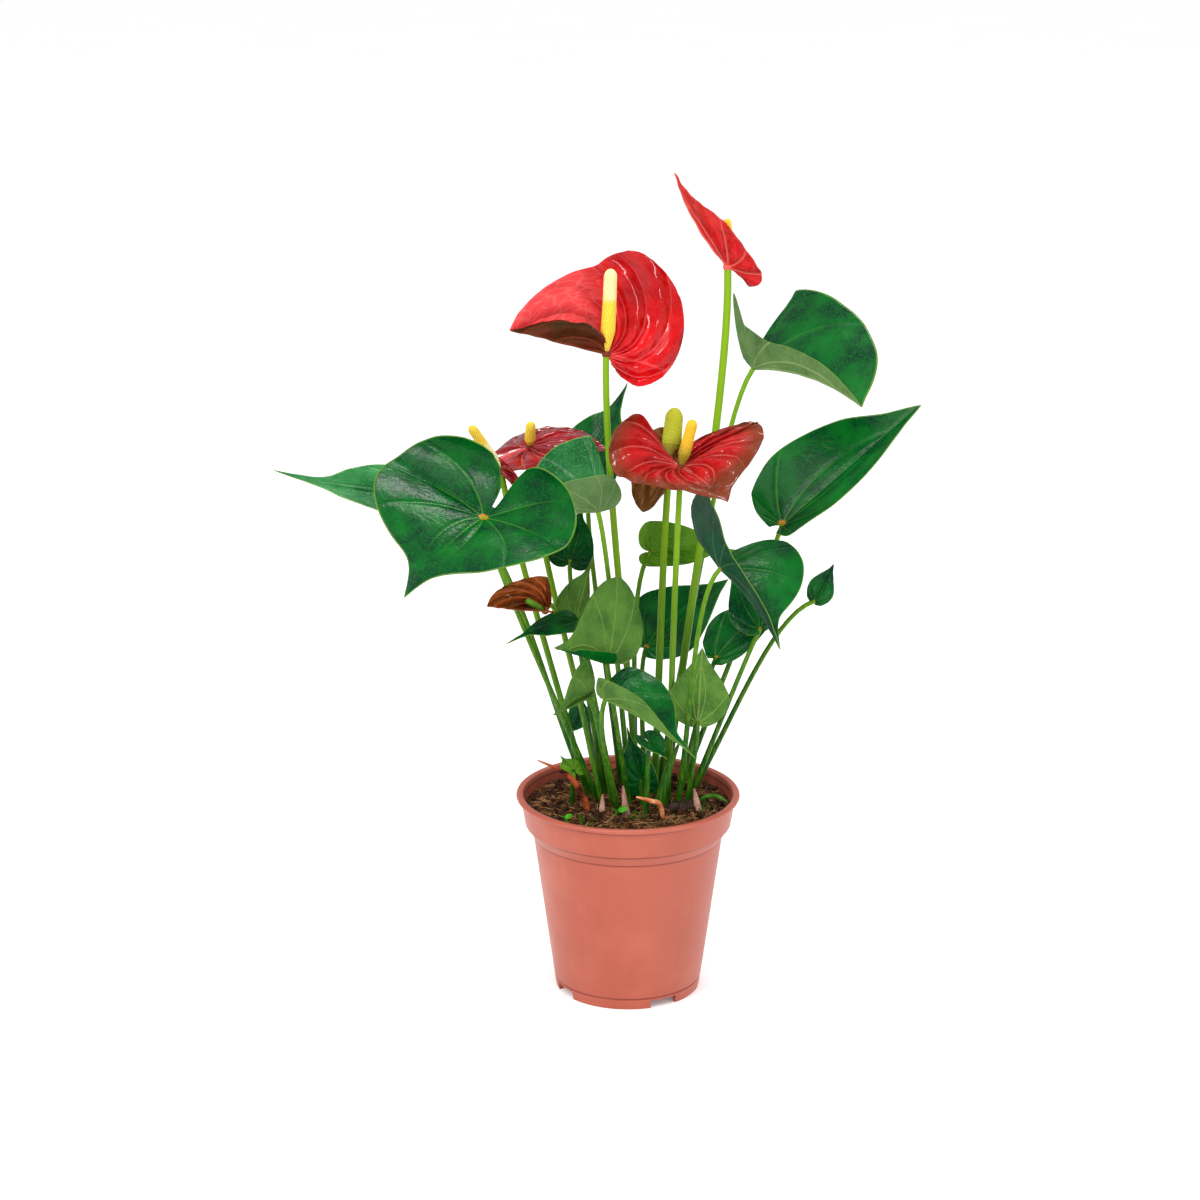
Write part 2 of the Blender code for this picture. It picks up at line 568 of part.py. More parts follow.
def make_pot():
    top = POT_HEIGHT
    profile = [
        (0.0, 0.0), (MIDDLE_PAD_RADIUS, 0.0), (MIDDLE_PAD_RADIUS + 1.2, FLOOR_Z - WALL),
        (BASE_RADIUS - FOOT_WIDTH - 1.0, FLOOR_Z - WALL), (BASE_RADIUS - FOOT_WIDTH, 0.0),
        (BASE_RADIUS, 0.0), (BASE_RADIUS + 0.8, FOOT_SEAM_Z - 0.5), (BASE_RADIUS + 0.4, FOOT_SEAM_Z),
        (BASE_RADIUS + 1.0, FOOT_SEAM_Z + 0.6), (STEP_RADIUS - 0.6, STEP_Z),
        (BAND_FOOT_RADIUS - 1.0, BAND_FOOT_Z - 0.8), (BAND_FOOT_RADIUS, BAND_FOOT_Z),
        (BAND_RADIUS, top - 3.2), (RIM_RADIUS - 0.5, top - 2.6), (RIM_RADIUS, top - 1.4),
        (RIM_RADIUS - 0.6, top - 0.3), (RIM_RADIUS - 1.6, top),
        (inner_radius(top) + 0.4, top - 0.5), (inner_radius(top - 3), top - 3.0),
        (inner_radius(BAND_FOOT_Z), BAND_FOOT_Z), (inner_radius(STEP_Z - 1), STEP_Z - 1),
        (inner_radius(FLOOR_Z), FLOOR_Z), (MIDDLE_PAD_RADIUS, FLOOR_Z), (MIDDLE_PAD_RADIUS - 1.2, WALL),
        (0.0, WALL),
    ]
    pot = revolve("pot", profile, POT_SIDES)
    for angle in NOTCH_ANGLES:
        turn = math.radians(angle)
        reach = BASE_RADIUS - 0.5
        centre = (reach * math.cos(turn), reach * math.sin(turn), NOTCH_HEIGHT / 2 - 2)
        notch = box("notch", centre, (NOTCH_DEPTH, NOTCH_WIDTH, NOTCH_HEIGHT + 4), turn)
        combine(pot, notch, 'DIFFERENCE')
        # the water leaves through a slot in the floor just inside the foot, and then by the notch
        reach = BASE_RADIUS - FOOT_WIDTH - 1.0 - DRAIN_WIDTH / 2
        centre = (reach * math.cos(turn), reach * math.sin(turn), FLOOR_Z)
        drain = box("drain", centre, (DRAIN_WIDTH, NOTCH_WIDTH, DRAIN_DEPTH), turn)
        combine(pot, drain, 'DIFFERENCE')
    return pot


def make_soil():
    """The root ball and potting soil, filling the pot, with a rough mounded top."""
    random.seed(12)
    points = [Vector((0, 0, WALL + GAP))]
    floor = [(MIDDLE_PAD_RADIUS - 1.2 - GAP, WALL + GAP), (MIDDLE_PAD_RADIUS - GAP, FLOOR_Z + GAP)]
    floor += [(inner_radius(z) - GAP, z) for z in (FLOOR_Z + GAP, STEP_Z - 1, BAND_FOOT_Z, SOIL_LEVEL - 2)]
    rings = []
    for radius, z in floor:
        rings.append(len(points))
        for k in range(SOIL_SIDES):
            angle = 2 * math.pi * k / SOIL_SIDES
            points.append(Vector((radius * math.cos(angle), radius * math.sin(angle), z)))
    for ring in range(SOIL_RINGS - 1, 0, -1):
        share = ring / SOIL_RINGS
        radius = (inner_radius(SOIL_LEVEL) - GAP) * share
        rings.append(len(points))
        for k in range(SOIL_SIDES):
            angle = 2 * math.pi * (k + 0.5 * ring) / SOIL_SIDES
            bump = random.uniform(-SOIL_ROUGHNESS, SOIL_ROUGHNESS)
            z = SOIL_LEVEL + SOIL_MOUND * (1 - share * share) + bump
            points.append(Vector((radius * math.cos(angle), radius * math.sin(angle), z)))
    crown = len(points)
    points.append(Vector((0, 0, SOIL_LEVEL + SOIL_MOUND)))
    faces = []
    for k in range(SOIL_SIDES):
        n = (k + 1) % SOIL_SIDES
        faces.append((0, rings[0] + n, rings[0] + k))
        for a, b in zip(rings, rings[1:]):
            faces.append((a + k, a + n, b + n))
            faces.append((a + k, b + n, b + k))
        faces.append((rings[-1] + k, rings[-1] + n, crown))
    return solid("soil", points, faces)


def shoot(name, row, grow=0.0):
    route = [Vector(p) for p in row["route"]]
    return tube(name, route, row["radii"], PETIOLE_SIDES, grow)


def main():
    remove_everything()
    terracotta = material("pot_plastic", (0.58, 0.13, 0.085), 0.55)
    peat = material("potting_soil", (0.055, 0.028, 0.016), 0.95)
    leaf_green = material("leaf_green", (0.012, 0.10, 0.02), 0.35)
    stem_green = material("stem_green", (0.10, 0.26, 0.02), 0.45)
    red = material("spathe_red", (0.62, 0.01, 0.015), 0.25, 0.5)
    yellow = material("spadix_yellow", (0.85, 0.62, 0.03), 0.6)
    copper = material("spathe_copper", (0.32, 0.07, 0.02), 0.35)
    pink = material("sheath_pink", (0.45, 0.24, 0.18), 0.8)
    brown = material("bract_brown", (0.09, 0.012, 0.008), 0.8)
    pot = make_pot()
    finish(pot, terracotta)
    soil = make_soil()
    for name, row in LEAVES.items():
        body, line, radii = leaf(name, row)
        finish(body, leaf_green)
        combine(soil, tube("hole", line, radii, PETIOLE_SIDES, GAP), 'DIFFERENCE')
    for name, row in BLOOMS.items():
        stalk, line, radii = bloom_stem(name + "_stem", row)
        finish(stalk, stem_green)
        combine(soil, tube("hole", line, radii, STEM_SIDES, GAP), 'DIFFERENCE')
        finish(spadix(name + "_spadix", row), yellow)
        finish(spathe(name + "_spathe", row), copper if row.get("young") else red)
    for name, row in SHOOTS.items():
        body = shoot(name, row)
        finish(body, pink if "sheath" in name else (brown if "bract" in name else stem_green))
        combine(soil, shoot("hole", row, GAP), 'DIFFERENCE')
    finish(soil, peat)


main()
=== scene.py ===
import bisect
import math
import random

import bpy
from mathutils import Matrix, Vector, noise


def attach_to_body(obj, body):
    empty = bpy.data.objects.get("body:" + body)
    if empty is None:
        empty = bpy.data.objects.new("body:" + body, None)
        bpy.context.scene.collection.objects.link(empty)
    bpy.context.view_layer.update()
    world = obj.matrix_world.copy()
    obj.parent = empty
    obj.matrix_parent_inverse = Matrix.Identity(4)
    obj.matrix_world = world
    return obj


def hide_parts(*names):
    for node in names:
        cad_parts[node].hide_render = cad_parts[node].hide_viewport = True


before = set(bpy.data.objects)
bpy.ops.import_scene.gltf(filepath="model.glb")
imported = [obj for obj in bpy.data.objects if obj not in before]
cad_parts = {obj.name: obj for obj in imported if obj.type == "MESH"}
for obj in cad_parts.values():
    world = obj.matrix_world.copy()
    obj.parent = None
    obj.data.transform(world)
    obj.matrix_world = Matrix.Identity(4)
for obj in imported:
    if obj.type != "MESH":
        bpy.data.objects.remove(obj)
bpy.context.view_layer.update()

MM = 0.001

# The pot is a thin moulded nursery pot of terracotta-coloured plastic: a tapered wall, a step, an upright
# band under a rolled lip, and a foot ring with four drain notches. It is turned here from one ring of
# edges, drawn up the outside and down the inside, and the notches are cut last.
POT_HEIGHT = 110.0
RIM_RADIUS = 60.0
BAND_RADIUS = 57.4
BAND_FOOT_RADIUS = 55.2
BAND_FOOT_Z = 93.0
STEP_RADIUS = 51.4
STEP_Z = 86.5
BASE_RADIUS = 38.8
FOOT_SEAM_Z = 6.0
FLOOR_Z = 5.0
FOOT_WIDTH = 2.2
MIDDLE_PAD_RADIUS = 11.0
WALL = 1.4
NOTCH_ANGLES = (-60.5, 29.5, 119.5, 209.5)
NOTCH_WIDTH = 15.5
NOTCH_HEIGHT = 4.6
DRAIN_WIDTH = 3.4
LEDGE = 1.0
CUT_LENGTH = 8.0
CUT_BELOW = 4.0
DRAIN_DEPTH = 6.0
POT_SIDES = 128
# edges that turn by more than SHARP_TURN degrees are rounded, and those above SMOOTH_TURN stay crisp
POT_EDGE = 0.35
SHARP_TURN = 18
SMOOTH_TURN = 32
POT_CREASES = (POT_HEIGHT - 3.3, BAND_FOOT_Z - 0.9, STEP_Z, FOOT_SEAM_Z)
TERRACOTTA = (0.395, 0.084, 0.049)
TERRACOTTA_WARM = (0.42, 0.094, 0.057)
TERRACOTTA_PALE = (0.455, 0.11, 0.067)
# brown of the painted shade in the pot's creases
PAINTED_CREASE_SHADE = (0.2, 0.03, 0.018)


def let_go():
    """Nothing stays selected, so that an operator acts on what is added next."""
    if bpy.context.object and bpy.context.object.mode != 'OBJECT':
        bpy.ops.object.mode_set(mode='OBJECT')
    bpy.ops.object.select_all(action='DESELECT')


def take(*objs):
    """Only these are selected, and the first is the active one."""
    let_go()
    for obj in objs:
        obj.select_set(True)
    bpy.context.view_layer.objects.active = objs[0]


def apply_all(obj):
    take(obj)
    for modifier in list(obj.modifiers):
        bpy.ops.object.modifier_apply(modifier=modifier.name)


def edit_all(obj):
    """The whole mesh is selected in edit mode."""
    take(obj)
    bpy.ops.object.mode_set(mode='EDIT')
    bpy.ops.mesh.select_all(action='SELECT')


def fill_open_ends():
    """Closes what is open in the mesh that is being edited."""
    bpy.ops.mesh.select_mode(type='EDGE')
    bpy.ops.mesh.select_all(action='DESELECT')
    bpy.ops.mesh.select_non_manifold()
    bpy.ops.mesh.fill_holes(sides=0)


def throw_away(obj):
    mesh = obj.data
    bpy.data.objects.remove(obj)
    bpy.data.meshes.remove(mesh)


def settle(obj):
    """The place of a finished piece goes into its mesh, and its object back to the origin."""
    take(obj)
    bpy.ops.object.transform_apply(location=True, rotation=True, scale=True)


def inner_radius(z):
    """The pot's inside radius at a height."""
    ledge_radius = STEP_RADIUS - LEDGE
    if z < STEP_Z - LEDGE:
        return BASE_RADIUS + (ledge_radius - BASE_RADIUS) * z / STEP_Z - WALL
    if z < BAND_FOOT_Z:
        rise = (z - STEP_Z + LEDGE) / (BAND_FOOT_Z - STEP_Z + LEDGE)
        return ledge_radius - WALL + (BAND_FOOT_RADIUS - ledge_radius) * rise
    rise = (z - BAND_FOOT_Z) / (POT_HEIGHT - BAND_FOOT_Z)
    return BAND_FOOT_RADIUS + (BAND_RADIUS - BAND_FOOT_RADIUS) * rise - WALL


def draw_up(name, profile, sides):
    """A ring of edges, drawn out and up from ring to ring of the profile, and closed at both ends."""
    let_go()
    radius, z = profile[0]
    bpy.ops.mesh.primitive_circle_add(vertices=sides, radius=radius * MM, location=(0, 0, z * MM))
    obj = bpy.context.object
    obj.name = name
    settle(obj)
    edit_all(obj)
    for (r0, z0), (r1, z1) in zip(profile, profile[1:]):
        bpy.ops.mesh.extrude_region_move(TRANSFORM_OT_translate={"value": (0, 0, (z1 - z0) * MM)})
        bpy.ops.transform.resize(value=(r1 / r0, r1 / r0, 1), center_override=(0, 0, z1 * MM))
    fill_open_ends()
    bpy.ops.mesh.select_all(action='SELECT')
    bpy.ops.mesh.normals_make_consistent(inside=False)
    bpy.ops.object.mode_set(mode='OBJECT')
    return obj


def cut_box(obj, degrees, reach, z, size):
    """Cuts a box away at an angle and a reach from the axis, with its second side across the radius."""
    let_go()
    turn = math.radians(degrees)
    centre = (reach * MM * math.cos(turn), reach * MM * math.sin(turn), z * MM)
    bpy.ops.mesh.primitive_cube_add(size=1, location=centre, rotation=(0, 0, turn))
    cutter = bpy.context.object
    cutter.scale = [side * MM for side in size]
    settle(cutter)
    boolean = obj.modifiers.new("cut", 'BOOLEAN')
    boolean.operation = 'DIFFERENCE'
    boolean.object = cutter
    boolean.solver = 'EXACT'
    apply_all(obj)
    throw_away(cutter)


def new_material(name, roughness, coat=0.0, coat_roughness=0.2, specular=0.5):
    """A procedural material, its node tree and its shader."""
    mat = bpy.data.materials.new(name)
    mat.use_nodes = True
    tree = mat.node_tree
    shader = tree.nodes["Principled BSDF"]
    shader.inputs["Roughness"].default_value = roughness
    shader.inputs["Coat Weight"].default_value = coat
    shader.inputs["Coat Roughness"].default_value = coat_roughness
    shader.inputs["Specular IOR Level"].default_value = specular
    return mat, tree, shader


def put(socket, value):
    """Gives a socket a link or a plain value."""
    if isinstance(value, bpy.types.NodeSocket):
        socket.id_data.links.new(value, socket)
    elif isinstance(value, (tuple, list)) and len(value) == 3 and socket.type == 'RGBA':
        socket.default_value = (*value, 1.0)
    else:
        socket.default_value = value


def node_after(socket, kind):
    """A new node in the tree that a socket is in."""
    return socket.id_data.nodes.new("ShaderNode" + kind)


def math_node(operation, a, b=None, c=None):
    node = node_after(a, "Math")
    node.operation = operation
    for socket, value in zip(node.inputs, (a, b, c)):
        if value is not None:
            put(socket, value)
    return node.outputs[0]


def times(a, b):
    return math_node('MULTIPLY', a, b)


def blend_colour(factor, first, second):
    node = node_after(factor, "Mix")
    node.data_type = 'RGBA'
    put(node.inputs[0], factor)
    put(node.inputs[6], first)
    put(node.inputs[7], second)
    return node.outputs[2]


def step_between(value, low, high, top=1.0):
    """0 below low and top above high, eased between; low may be the larger one."""
    node = node_after(value, "MapRange")
    node.interpolation_type = 'SMOOTHSTEP'
    put(node.inputs[0], value)
    node.inputs[1].default_value = low
    node.inputs[2].default_value = high
    node.inputs[4].default_value = top
    return node.outputs[0]


def lay_over(base, colour, value, low, high, share=1.0):
    """A colour over the base, none of it where a value is below low and all its share above high."""
    return blend_colour(step_between(value, low, high, share), base, colour)


def place_of(tree, scale=(1, 1, 1)):
    """Object coordinates in metres, scaled."""
    source = tree.nodes.new("ShaderNodeTexCoord")
    mapping = tree.nodes.new("ShaderNodeMapping")
    mapping.inputs["Scale"].default_value = scale
    put(mapping.inputs[0], source.outputs["Object"])
    return mapping.outputs[0]


def split_up(vector):
    """The three numbers of a vector."""
    node = node_after(vector, "SeparateXYZ")
    put(node.inputs[0], vector)
    return node.outputs


def cloud(place, scale, detail=3.0, rough=0.5):
    """Soft random values about 0.5."""
    node = node_after(place, "TexNoise")
    put(node.inputs["Vector"], place)
    node.inputs["Scale"].default_value = scale
    node.inputs["Detail"].default_value = detail
    node.inputs["Roughness"].default_value = rough
    return node.outputs[0]


def relief(height, distance, strength=1.0, under=None):
    """A bump of the given depth in metres, over another one if there is one."""
    node = node_after(height, "Bump")
    node.inputs["Strength"].default_value = strength
    node.inputs["Distance"].default_value = distance
    put(node.inputs["Height"], height)
    if under is not None:
        put(node.inputs["Normal"], under)
    return node.outputs[0]


def raise_surface(shader, normal):
    """The relief shows in a surface and in the gloss over it."""
    put(shader.inputs["Normal"], normal)
    put(shader.inputs["Coat Normal"], normal)


def dress(obj, *mats):
    obj.data.materials.clear()
    for mat in mats:
        obj.data.materials.append(mat)


def add_to_part(obj, slot, *nodes):
    """The piece rides with the part, and stands for its nodes."""
    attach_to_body(obj, "root")
    if nodes:
        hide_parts(*nodes)


pot_profile = [
    (MIDDLE_PAD_RADIUS, 0.0), (MIDDLE_PAD_RADIUS + 1.2, FLOOR_Z - WALL),
    (BASE_RADIUS - FOOT_WIDTH - LEDGE, FLOOR_Z - WALL), (BASE_RADIUS - FOOT_WIDTH, 0.0), (BASE_RADIUS, 0.0),
    (BASE_RADIUS + 0.8, FOOT_SEAM_Z - 0.5), (BASE_RADIUS + 0.4, FOOT_SEAM_Z),
    (BASE_RADIUS + LEDGE, FOOT_SEAM_Z + 0.6), (STEP_RADIUS - 0.6, STEP_Z),
    (BAND_FOOT_RADIUS - LEDGE, BAND_FOOT_Z - 0.8), (BAND_FOOT_RADIUS, BAND_FOOT_Z),
    (BAND_RADIUS, POT_HEIGHT - 3.2), (RIM_RADIUS - 0.5, POT_HEIGHT - 2.6), (RIM_RADIUS, POT_HEIGHT - 1.4),
    (RIM_RADIUS - 0.6, POT_HEIGHT - 0.3), (RIM_RADIUS - 1.6, POT_HEIGHT),
    (inner_radius(POT_HEIGHT) + 0.4, POT_HEIGHT - 0.5), (inner_radius(POT_HEIGHT - 3), POT_HEIGHT - 3.0),
    (inner_radius(BAND_FOOT_Z), BAND_FOOT_Z), (inner_radius(STEP_Z - LEDGE), STEP_Z - LEDGE),
    (inner_radius(FLOOR_Z), FLOOR_Z), (MIDDLE_PAD_RADIUS, FLOOR_Z), (MIDDLE_PAD_RADIUS - 1.2, WALL),
]
pot = draw_up("nursery_pot", pot_profile, POT_SIDES)
bevel = pot.modifiers.new("edges", 'BEVEL')
bevel.width = POT_EDGE * MM
bevel.segments = 3
bevel.limit_method = 'ANGLE'
bevel.angle_limit = math.radians(SHARP_TURN)
apply_all(pot)
for degrees in NOTCH_ANGLES:
    cut_box(pot, degrees, BASE_RADIUS - 0.5, (NOTCH_HEIGHT - CUT_BELOW) / 2,
            (CUT_LENGTH, NOTCH_WIDTH, NOTCH_HEIGHT + CUT_BELOW))
    cut_box(pot, degrees, BASE_RADIUS - FOOT_WIDTH - LEDGE - DRAIN_WIDTH / 2, FLOOR_Z,
            (DRAIN_WIDTH, NOTCH_WIDTH, DRAIN_DEPTH))
take(pot)
bpy.ops.object.shade_smooth_by_angle(angle=math.radians(SMOOTH_TURN))


def terracotta_plastic():
    """Moulded plastic: warm red-brown, satin, faintly streaked up the wall, with fine pits."""
    mat, tree, shader = new_material("terracotta_plastic", 0.42, coat=0.05, coat_roughness=0.3, specular=0.3)
    streaks = cloud(place_of(tree, (60, 60, 6)), 1.0, 4.0)
    mottle = cloud(place_of(tree), 38.0, 5.0)
    base = lay_over(TERRACOTTA, TERRACOTTA_WARM, streaks, 0.35, 0.7)
    base = lay_over(base, TERRACOTTA_PALE, mottle, 0.42, 0.75)
    # painted shade darkens the creases under the lip, under the band, at the step and at the foot
    height = split_up(place_of(tree))[2]
    for crease in POT_CREASES:
        off = math_node('ABSOLUTE', math_node('SUBTRACT', height, crease * MM))
        base = lay_over(base, PAINTED_CREASE_SHADE, off, 0.0008, 0.0002, 0.8)
    put(shader.inputs["Base Color"], base)
    pits = cloud(place_of(tree), 900.0, 2.0)
    waves = cloud(place_of(tree, (14, 14, 5)), 1.0, 2.0)
    coarse = relief(waves, 0.0006, 0.35)
    raise_surface(shader, relief(pits, 0.00005, 0.35, coarse))
    return mat


dress(pot, terracotta_plastic())
add_to_part(pot, "pot_plastic", "pot")

# The root ball and potting soil fill the pot: brown peat with coir fibres and bits of bark, mounded
# towards the stems. Its surface is one closed body, its crumbs and fibres lie loose on top.
SOIL_LEVEL = 101.5
SOIL_MOUND = 3.6
LOOSE_PEAT = 1.3
SOIL_GAP = 0.35
SOIL_COLUMNS = 150
SOIL_RINGS = 64
CRUMBS = 1300
FIBRES = 360
CHIPS = 30
CLODS = 320
BARK_PLACE = (29, -14, 107.0)
BARK_TURN = (0.2, -0.15, 0.3)
BARK_STRETCH = (2.0, 1.1, 1.1)
LUMP_HEIGHT = 1.7
LUMPS_A_MM = 0.075
GRAIN_HEIGHT = 0.7
GRAINS_A_MM = 0.55
# share of the rows of the soil's grid that lie on its top, and of the rest that lie on its side
TOP_ROWS = 0.8
SIDE_ROWS = 0.7
SHOULDER = 2.0
FIBRE_BENDS = 6
# how far the loose bits and the fibres keep from the pot's wall
CRUMB_CLEAR = 1.5
FIBRE_CLEAR = 1.2
# how finely a rod is rounded
THIN_ROD = 0
ROUND_ROD = 3
PEAT_BLACK = (0.014, 0.006, 0.003)
PEAT_BROWN = (0.13, 0.058, 0.026)
PEAT_RUST = (0.2, 0.09, 0.038)


def spread_grid(name, columns, rows, place):
    """A grid whose corners are moved to where place(u, v) says, u and v running from 0 to 1."""
    let_go()
    bpy.ops.mesh.primitive_grid_add(x_subdivisions=columns, y_subdivisions=rows, size=1)
    obj = bpy.context.object
    obj.name = name
    obj.data.name = name
    for vertex in obj.data.vertices:
        vertex.co = Vector(place(vertex.co.x + 0.5, vertex.co.y + 0.5)) * MM
    return obj


def close_up(obj, gap=0.00002):
    """Merges what meets at seams and poles, and turns the faces outwards."""
    edit_all(obj)
    bpy.ops.mesh.remove_doubles(threshold=gap)
    bpy.ops.mesh.normals_make_consistent(inside=False)
    bpy.ops.object.mode_set(mode='OBJECT')
    bpy.ops.object.shade_smooth()


def ground_height(x, y):
    """Height of the soil's surface, in millimetres, rough as peat is."""
    share = min(1.0, math.hypot(x, y) / inner_radius(SOIL_LEVEL))
    lumps = noise.fractal(Vector((x, y, 3.0)) * LUMPS_A_MM, 0.9, 2.1, 5)
    grains = noise.noise(Vector((x, y, 9.0)) * GRAINS_A_MM)
    rough = (LUMP_HEIGHT * lumps + GRAIN_HEIGHT * grains) * (1 - share ** 6 * 0.6)
    return SOIL_LEVEL + LOOSE_PEAT + SOIL_MOUND * (1 - share * share) + rough


def soil_place(u, v):
    """First the top, out from its middle, then the side, down the pot's wall, and the flat underside."""
    angle = 2 * math.pi * u
    if v < TOP_ROWS:
        radius = (inner_radius(SOIL_LEVEL) - SOIL_GAP) * (v / TOP_ROWS)
        x = radius * math.cos(angle)
        y = radius * math.sin(angle)
        return x, y, ground_height(x, y)
    down = (v - TOP_ROWS) / (1 - TOP_ROWS)
    shoulder = SOIL_LEVEL - SHOULDER
    depth = shoulder - (shoulder - FLOOR_Z - SOIL_GAP) * min(1.0, down / SIDE_ROWS)
    radius = inner_radius(depth) - SOIL_GAP
    if down > SIDE_ROWS:
        radius *= (1 - down) / (1 - SIDE_ROWS)
    return radius * math.cos(angle), radius * math.sin(angle), depth


soil = spread_grid("potting_soil_body", SOIL_COLUMNS, SOIL_RINGS, soil_place)
close_up(soil)


def peat():
    """Dark brown peat: painted shade makes it near black in the hollows of its grain, with lighter rusty
    fibres and grains.
    """
    mat, tree, shader = new_material("peat", 0.92, specular=0.04)
    place = place_of(tree)
    grains = cloud(place, 420.0, 6.0, 0.7)
    patches = cloud(place, 60.0, 4.0)
    base = lay_over(PEAT_BLACK, PEAT_BROWN, grains, 0.35, 0.7)
    base = lay_over(base, PEAT_RUST, patches, 0.45, 0.8)
    put(shader.inputs["Base Color"], base)
    put(shader.inputs["Normal"], relief(grains, 0.0012, 0.9))
    return mat


dress(soil, peat())
add_to_part(soil, "potting_soil", "soil")


def litter(name, colours, roughness=0.85, scale=300.0):
    """Loose bits in or on the soil: two colours in grains, matt."""
    mat, tree, shader = new_material(name, roughness, specular=0.08)
    grains = cloud(place_of(tree), scale, 4.0, 0.6)
    put(shader.inputs["Base Color"], lay_over(*colours, grains, 0.35, 0.65))
    put(shader.inputs["Normal"], relief(grains, 0.0006, 0.8))
    return mat


crumb_dark = litter("crumb_dark", ((0.014, 0.006, 0.003), (0.07, 0.028, 0.012)))
crumb_rust = litter("crumb_rust", ((0.09, 0.034, 0.012), (0.24, 0.1, 0.04)))
fibre_pale = litter("fibre_pale", ((0.22, 0.11, 0.04), (0.5, 0.3, 0.14)), scale=120.0)
fibre_brown = litter("fibre_brown", ((0.1, 0.04, 0.016), (0.32, 0.145, 0.055)), scale=120.0)
bark_dark = litter("bark_dark", ((0.012, 0.008, 0.006), (0.06, 0.036, 0.026)), 0.7, 220.0)


def join_up(objs, name):
    """Joins meshes into one piece of this name."""
    take(*objs)
    bpy.ops.object.join()
    piece = bpy.context.object
    piece.name = name
    return piece


def copies(source, name, spots):
    """One mesh copied to each spot, given as (place, turn, size), and joined into one piece."""
    made = []
    for spot, turn, size in spots:
        copy = source.copy()
        copy.data = source.data.copy()
        bpy.context.collection.objects.link(copy)
        copy.location = spot
        copy.rotation_euler = turn
        copy.scale = size
        made.append(copy)
    piece = join_up(made, name)
    settle(piece)
    throw_away(source)
    return piece


def on_ground(rng, reach=0.97):
    """A random spot on the soil's surface, in millimetres."""
    radius = (inner_radius(SOIL_LEVEL) - CRUMB_CLEAR) * reach * math.sqrt(rng.random())
    angle = rng.uniform(0, 2 * math.pi)
    x = radius * math.cos(angle)
    y = radius * math.sin(angle)
    return x, y, ground_height(x, y)


def rough_lump(radius, seed, squash):
    """A small angular crumb of few faces."""
    let_go()
    bpy.ops.mesh.primitive_ico_sphere_add(subdivisions=1, radius=radius * MM)
    lump = bpy.context.object
    rng = random.Random(seed)
    for vertex in lump.data.vertices:
        vertex.co *= rng.uniform(0.65, 1.25)
        vertex.co.z *= squash
    return lump


def scatter(name, source, count, seed, sizes, mat, sink=0.2):
    """One lump copied all over the soil, each copy turned and stretched by chance."""
    rng = random.Random(seed)
    spots = []
    for _ in range(count):
        x, y, z = on_ground(rng)
        size = rng.uniform(*sizes)
        turn = (rng.uniform(0, 6.3), rng.uniform(0, 6.3), rng.uniform(0, 6.3))
        stretch = (size * rng.uniform(0.7, 1.5), size * rng.uniform(0.7, 1.2), size)
        spots.append((Vector((x, y, z - sink)) * MM, turn, stretch))
    piece = copies(source, name, spots)
    dress(piece, mat)
    add_to_part(piece, "potting_soil")


scatter("soil_crumbs_dark", rough_lump(1.0, 1, 0.7), CRUMBS // 2, 21, (0.5, 1.7), crumb_dark)
scatter("soil_crumbs_rust", rough_lump(1.0, 2, 0.6), CRUMBS // 2, 22, (0.35, 1.25), crumb_rust)
scatter("soil_clods", rough_lump(1.5, 4, 0.7), CLODS, 24, (0.9, 2.1), crumb_dark, 0.0)
scatter("bark_chips", rough_lump(1.6, 3, 0.35), CHIPS, 23, (0.9, 2.2), bark_dark)
# one large dark piece of bark lies at the right, in front of the stems
bark = copies(rough_lump(4.2, 5, 0.5), "bark_chunk", [(Vector(BARK_PLACE) * MM, BARK_TURN, BARK_STRETCH)])
dress(bark, bark_dark)
add_to_part(bark, "potting_soil")


def thread(name, points, radii, resolution):
    """A rod along points in millimetres, with closed ends, as a mesh."""
    let_go()
    data = bpy.data.curves.new(name, 'CURVE')
    data.dimensions = '3D'
    data.bevel_depth = 1.0 * MM
    data.bevel_resolution = resolution
    data.use_fill_caps = True
    line = data.splines.new('POLY')
    line.points.add(len(points) - 1)
    for corner, point, radius in zip(line.points, points, radii):
        corner.co = (*(Vector(point) * MM), 1.0)
        corner.radius = radius
    obj = bpy.data.objects.new(name, data)
    bpy.context.collection.objects.link(obj)
    take(obj)
    bpy.ops.object.convert(target='MESH')
    bpy.ops.object.shade_smooth()
    return bpy.context.object


def fibres(name, count, seed, mat, radius, length):
    """Coir fibres lying in loose curves on the soil."""
    rng = random.Random(seed)
    edge = inner_radius(SOIL_LEVEL) - FIBRE_CLEAR
    made = []
    for _ in range(count):
        x, y = on_ground(rng, 0.93)[:2]
        heading = rng.uniform(0, 2 * math.pi)
        bend = rng.uniform(-0.5, 0.5)
        step = rng.uniform(*length) / FIBRE_BENDS
        lift = rng.uniform(0.2, 1.4)
        points = []
        for k in range(FIBRE_BENDS + 1):
            if math.hypot(x, y) > edge:
                break
            height = ground_height(x, y) + lift * math.sin(math.pi * k / FIBRE_BENDS) + 0.15
            points.append((x, y, height))
            heading += bend + rng.uniform(-0.35, 0.35)
            x += step * math.cos(heading)
            y += step * math.sin(heading)
        if len(points) > 2:
            made.append(thread(name, points, [radius * rng.uniform(0.7, 1.2)] * len(points), THIN_ROD))
    piece = join_up(made, name)
    dress(piece, mat)
    add_to_part(piece, "potting_soil")


fibres("coir_pale", FIBRES // 3, 31, fibre_pale, 0.17, (8, 26))
fibres("coir_brown", FIBRES - FIBRES // 3, 32, fibre_brown, 0.26, (8, 30))

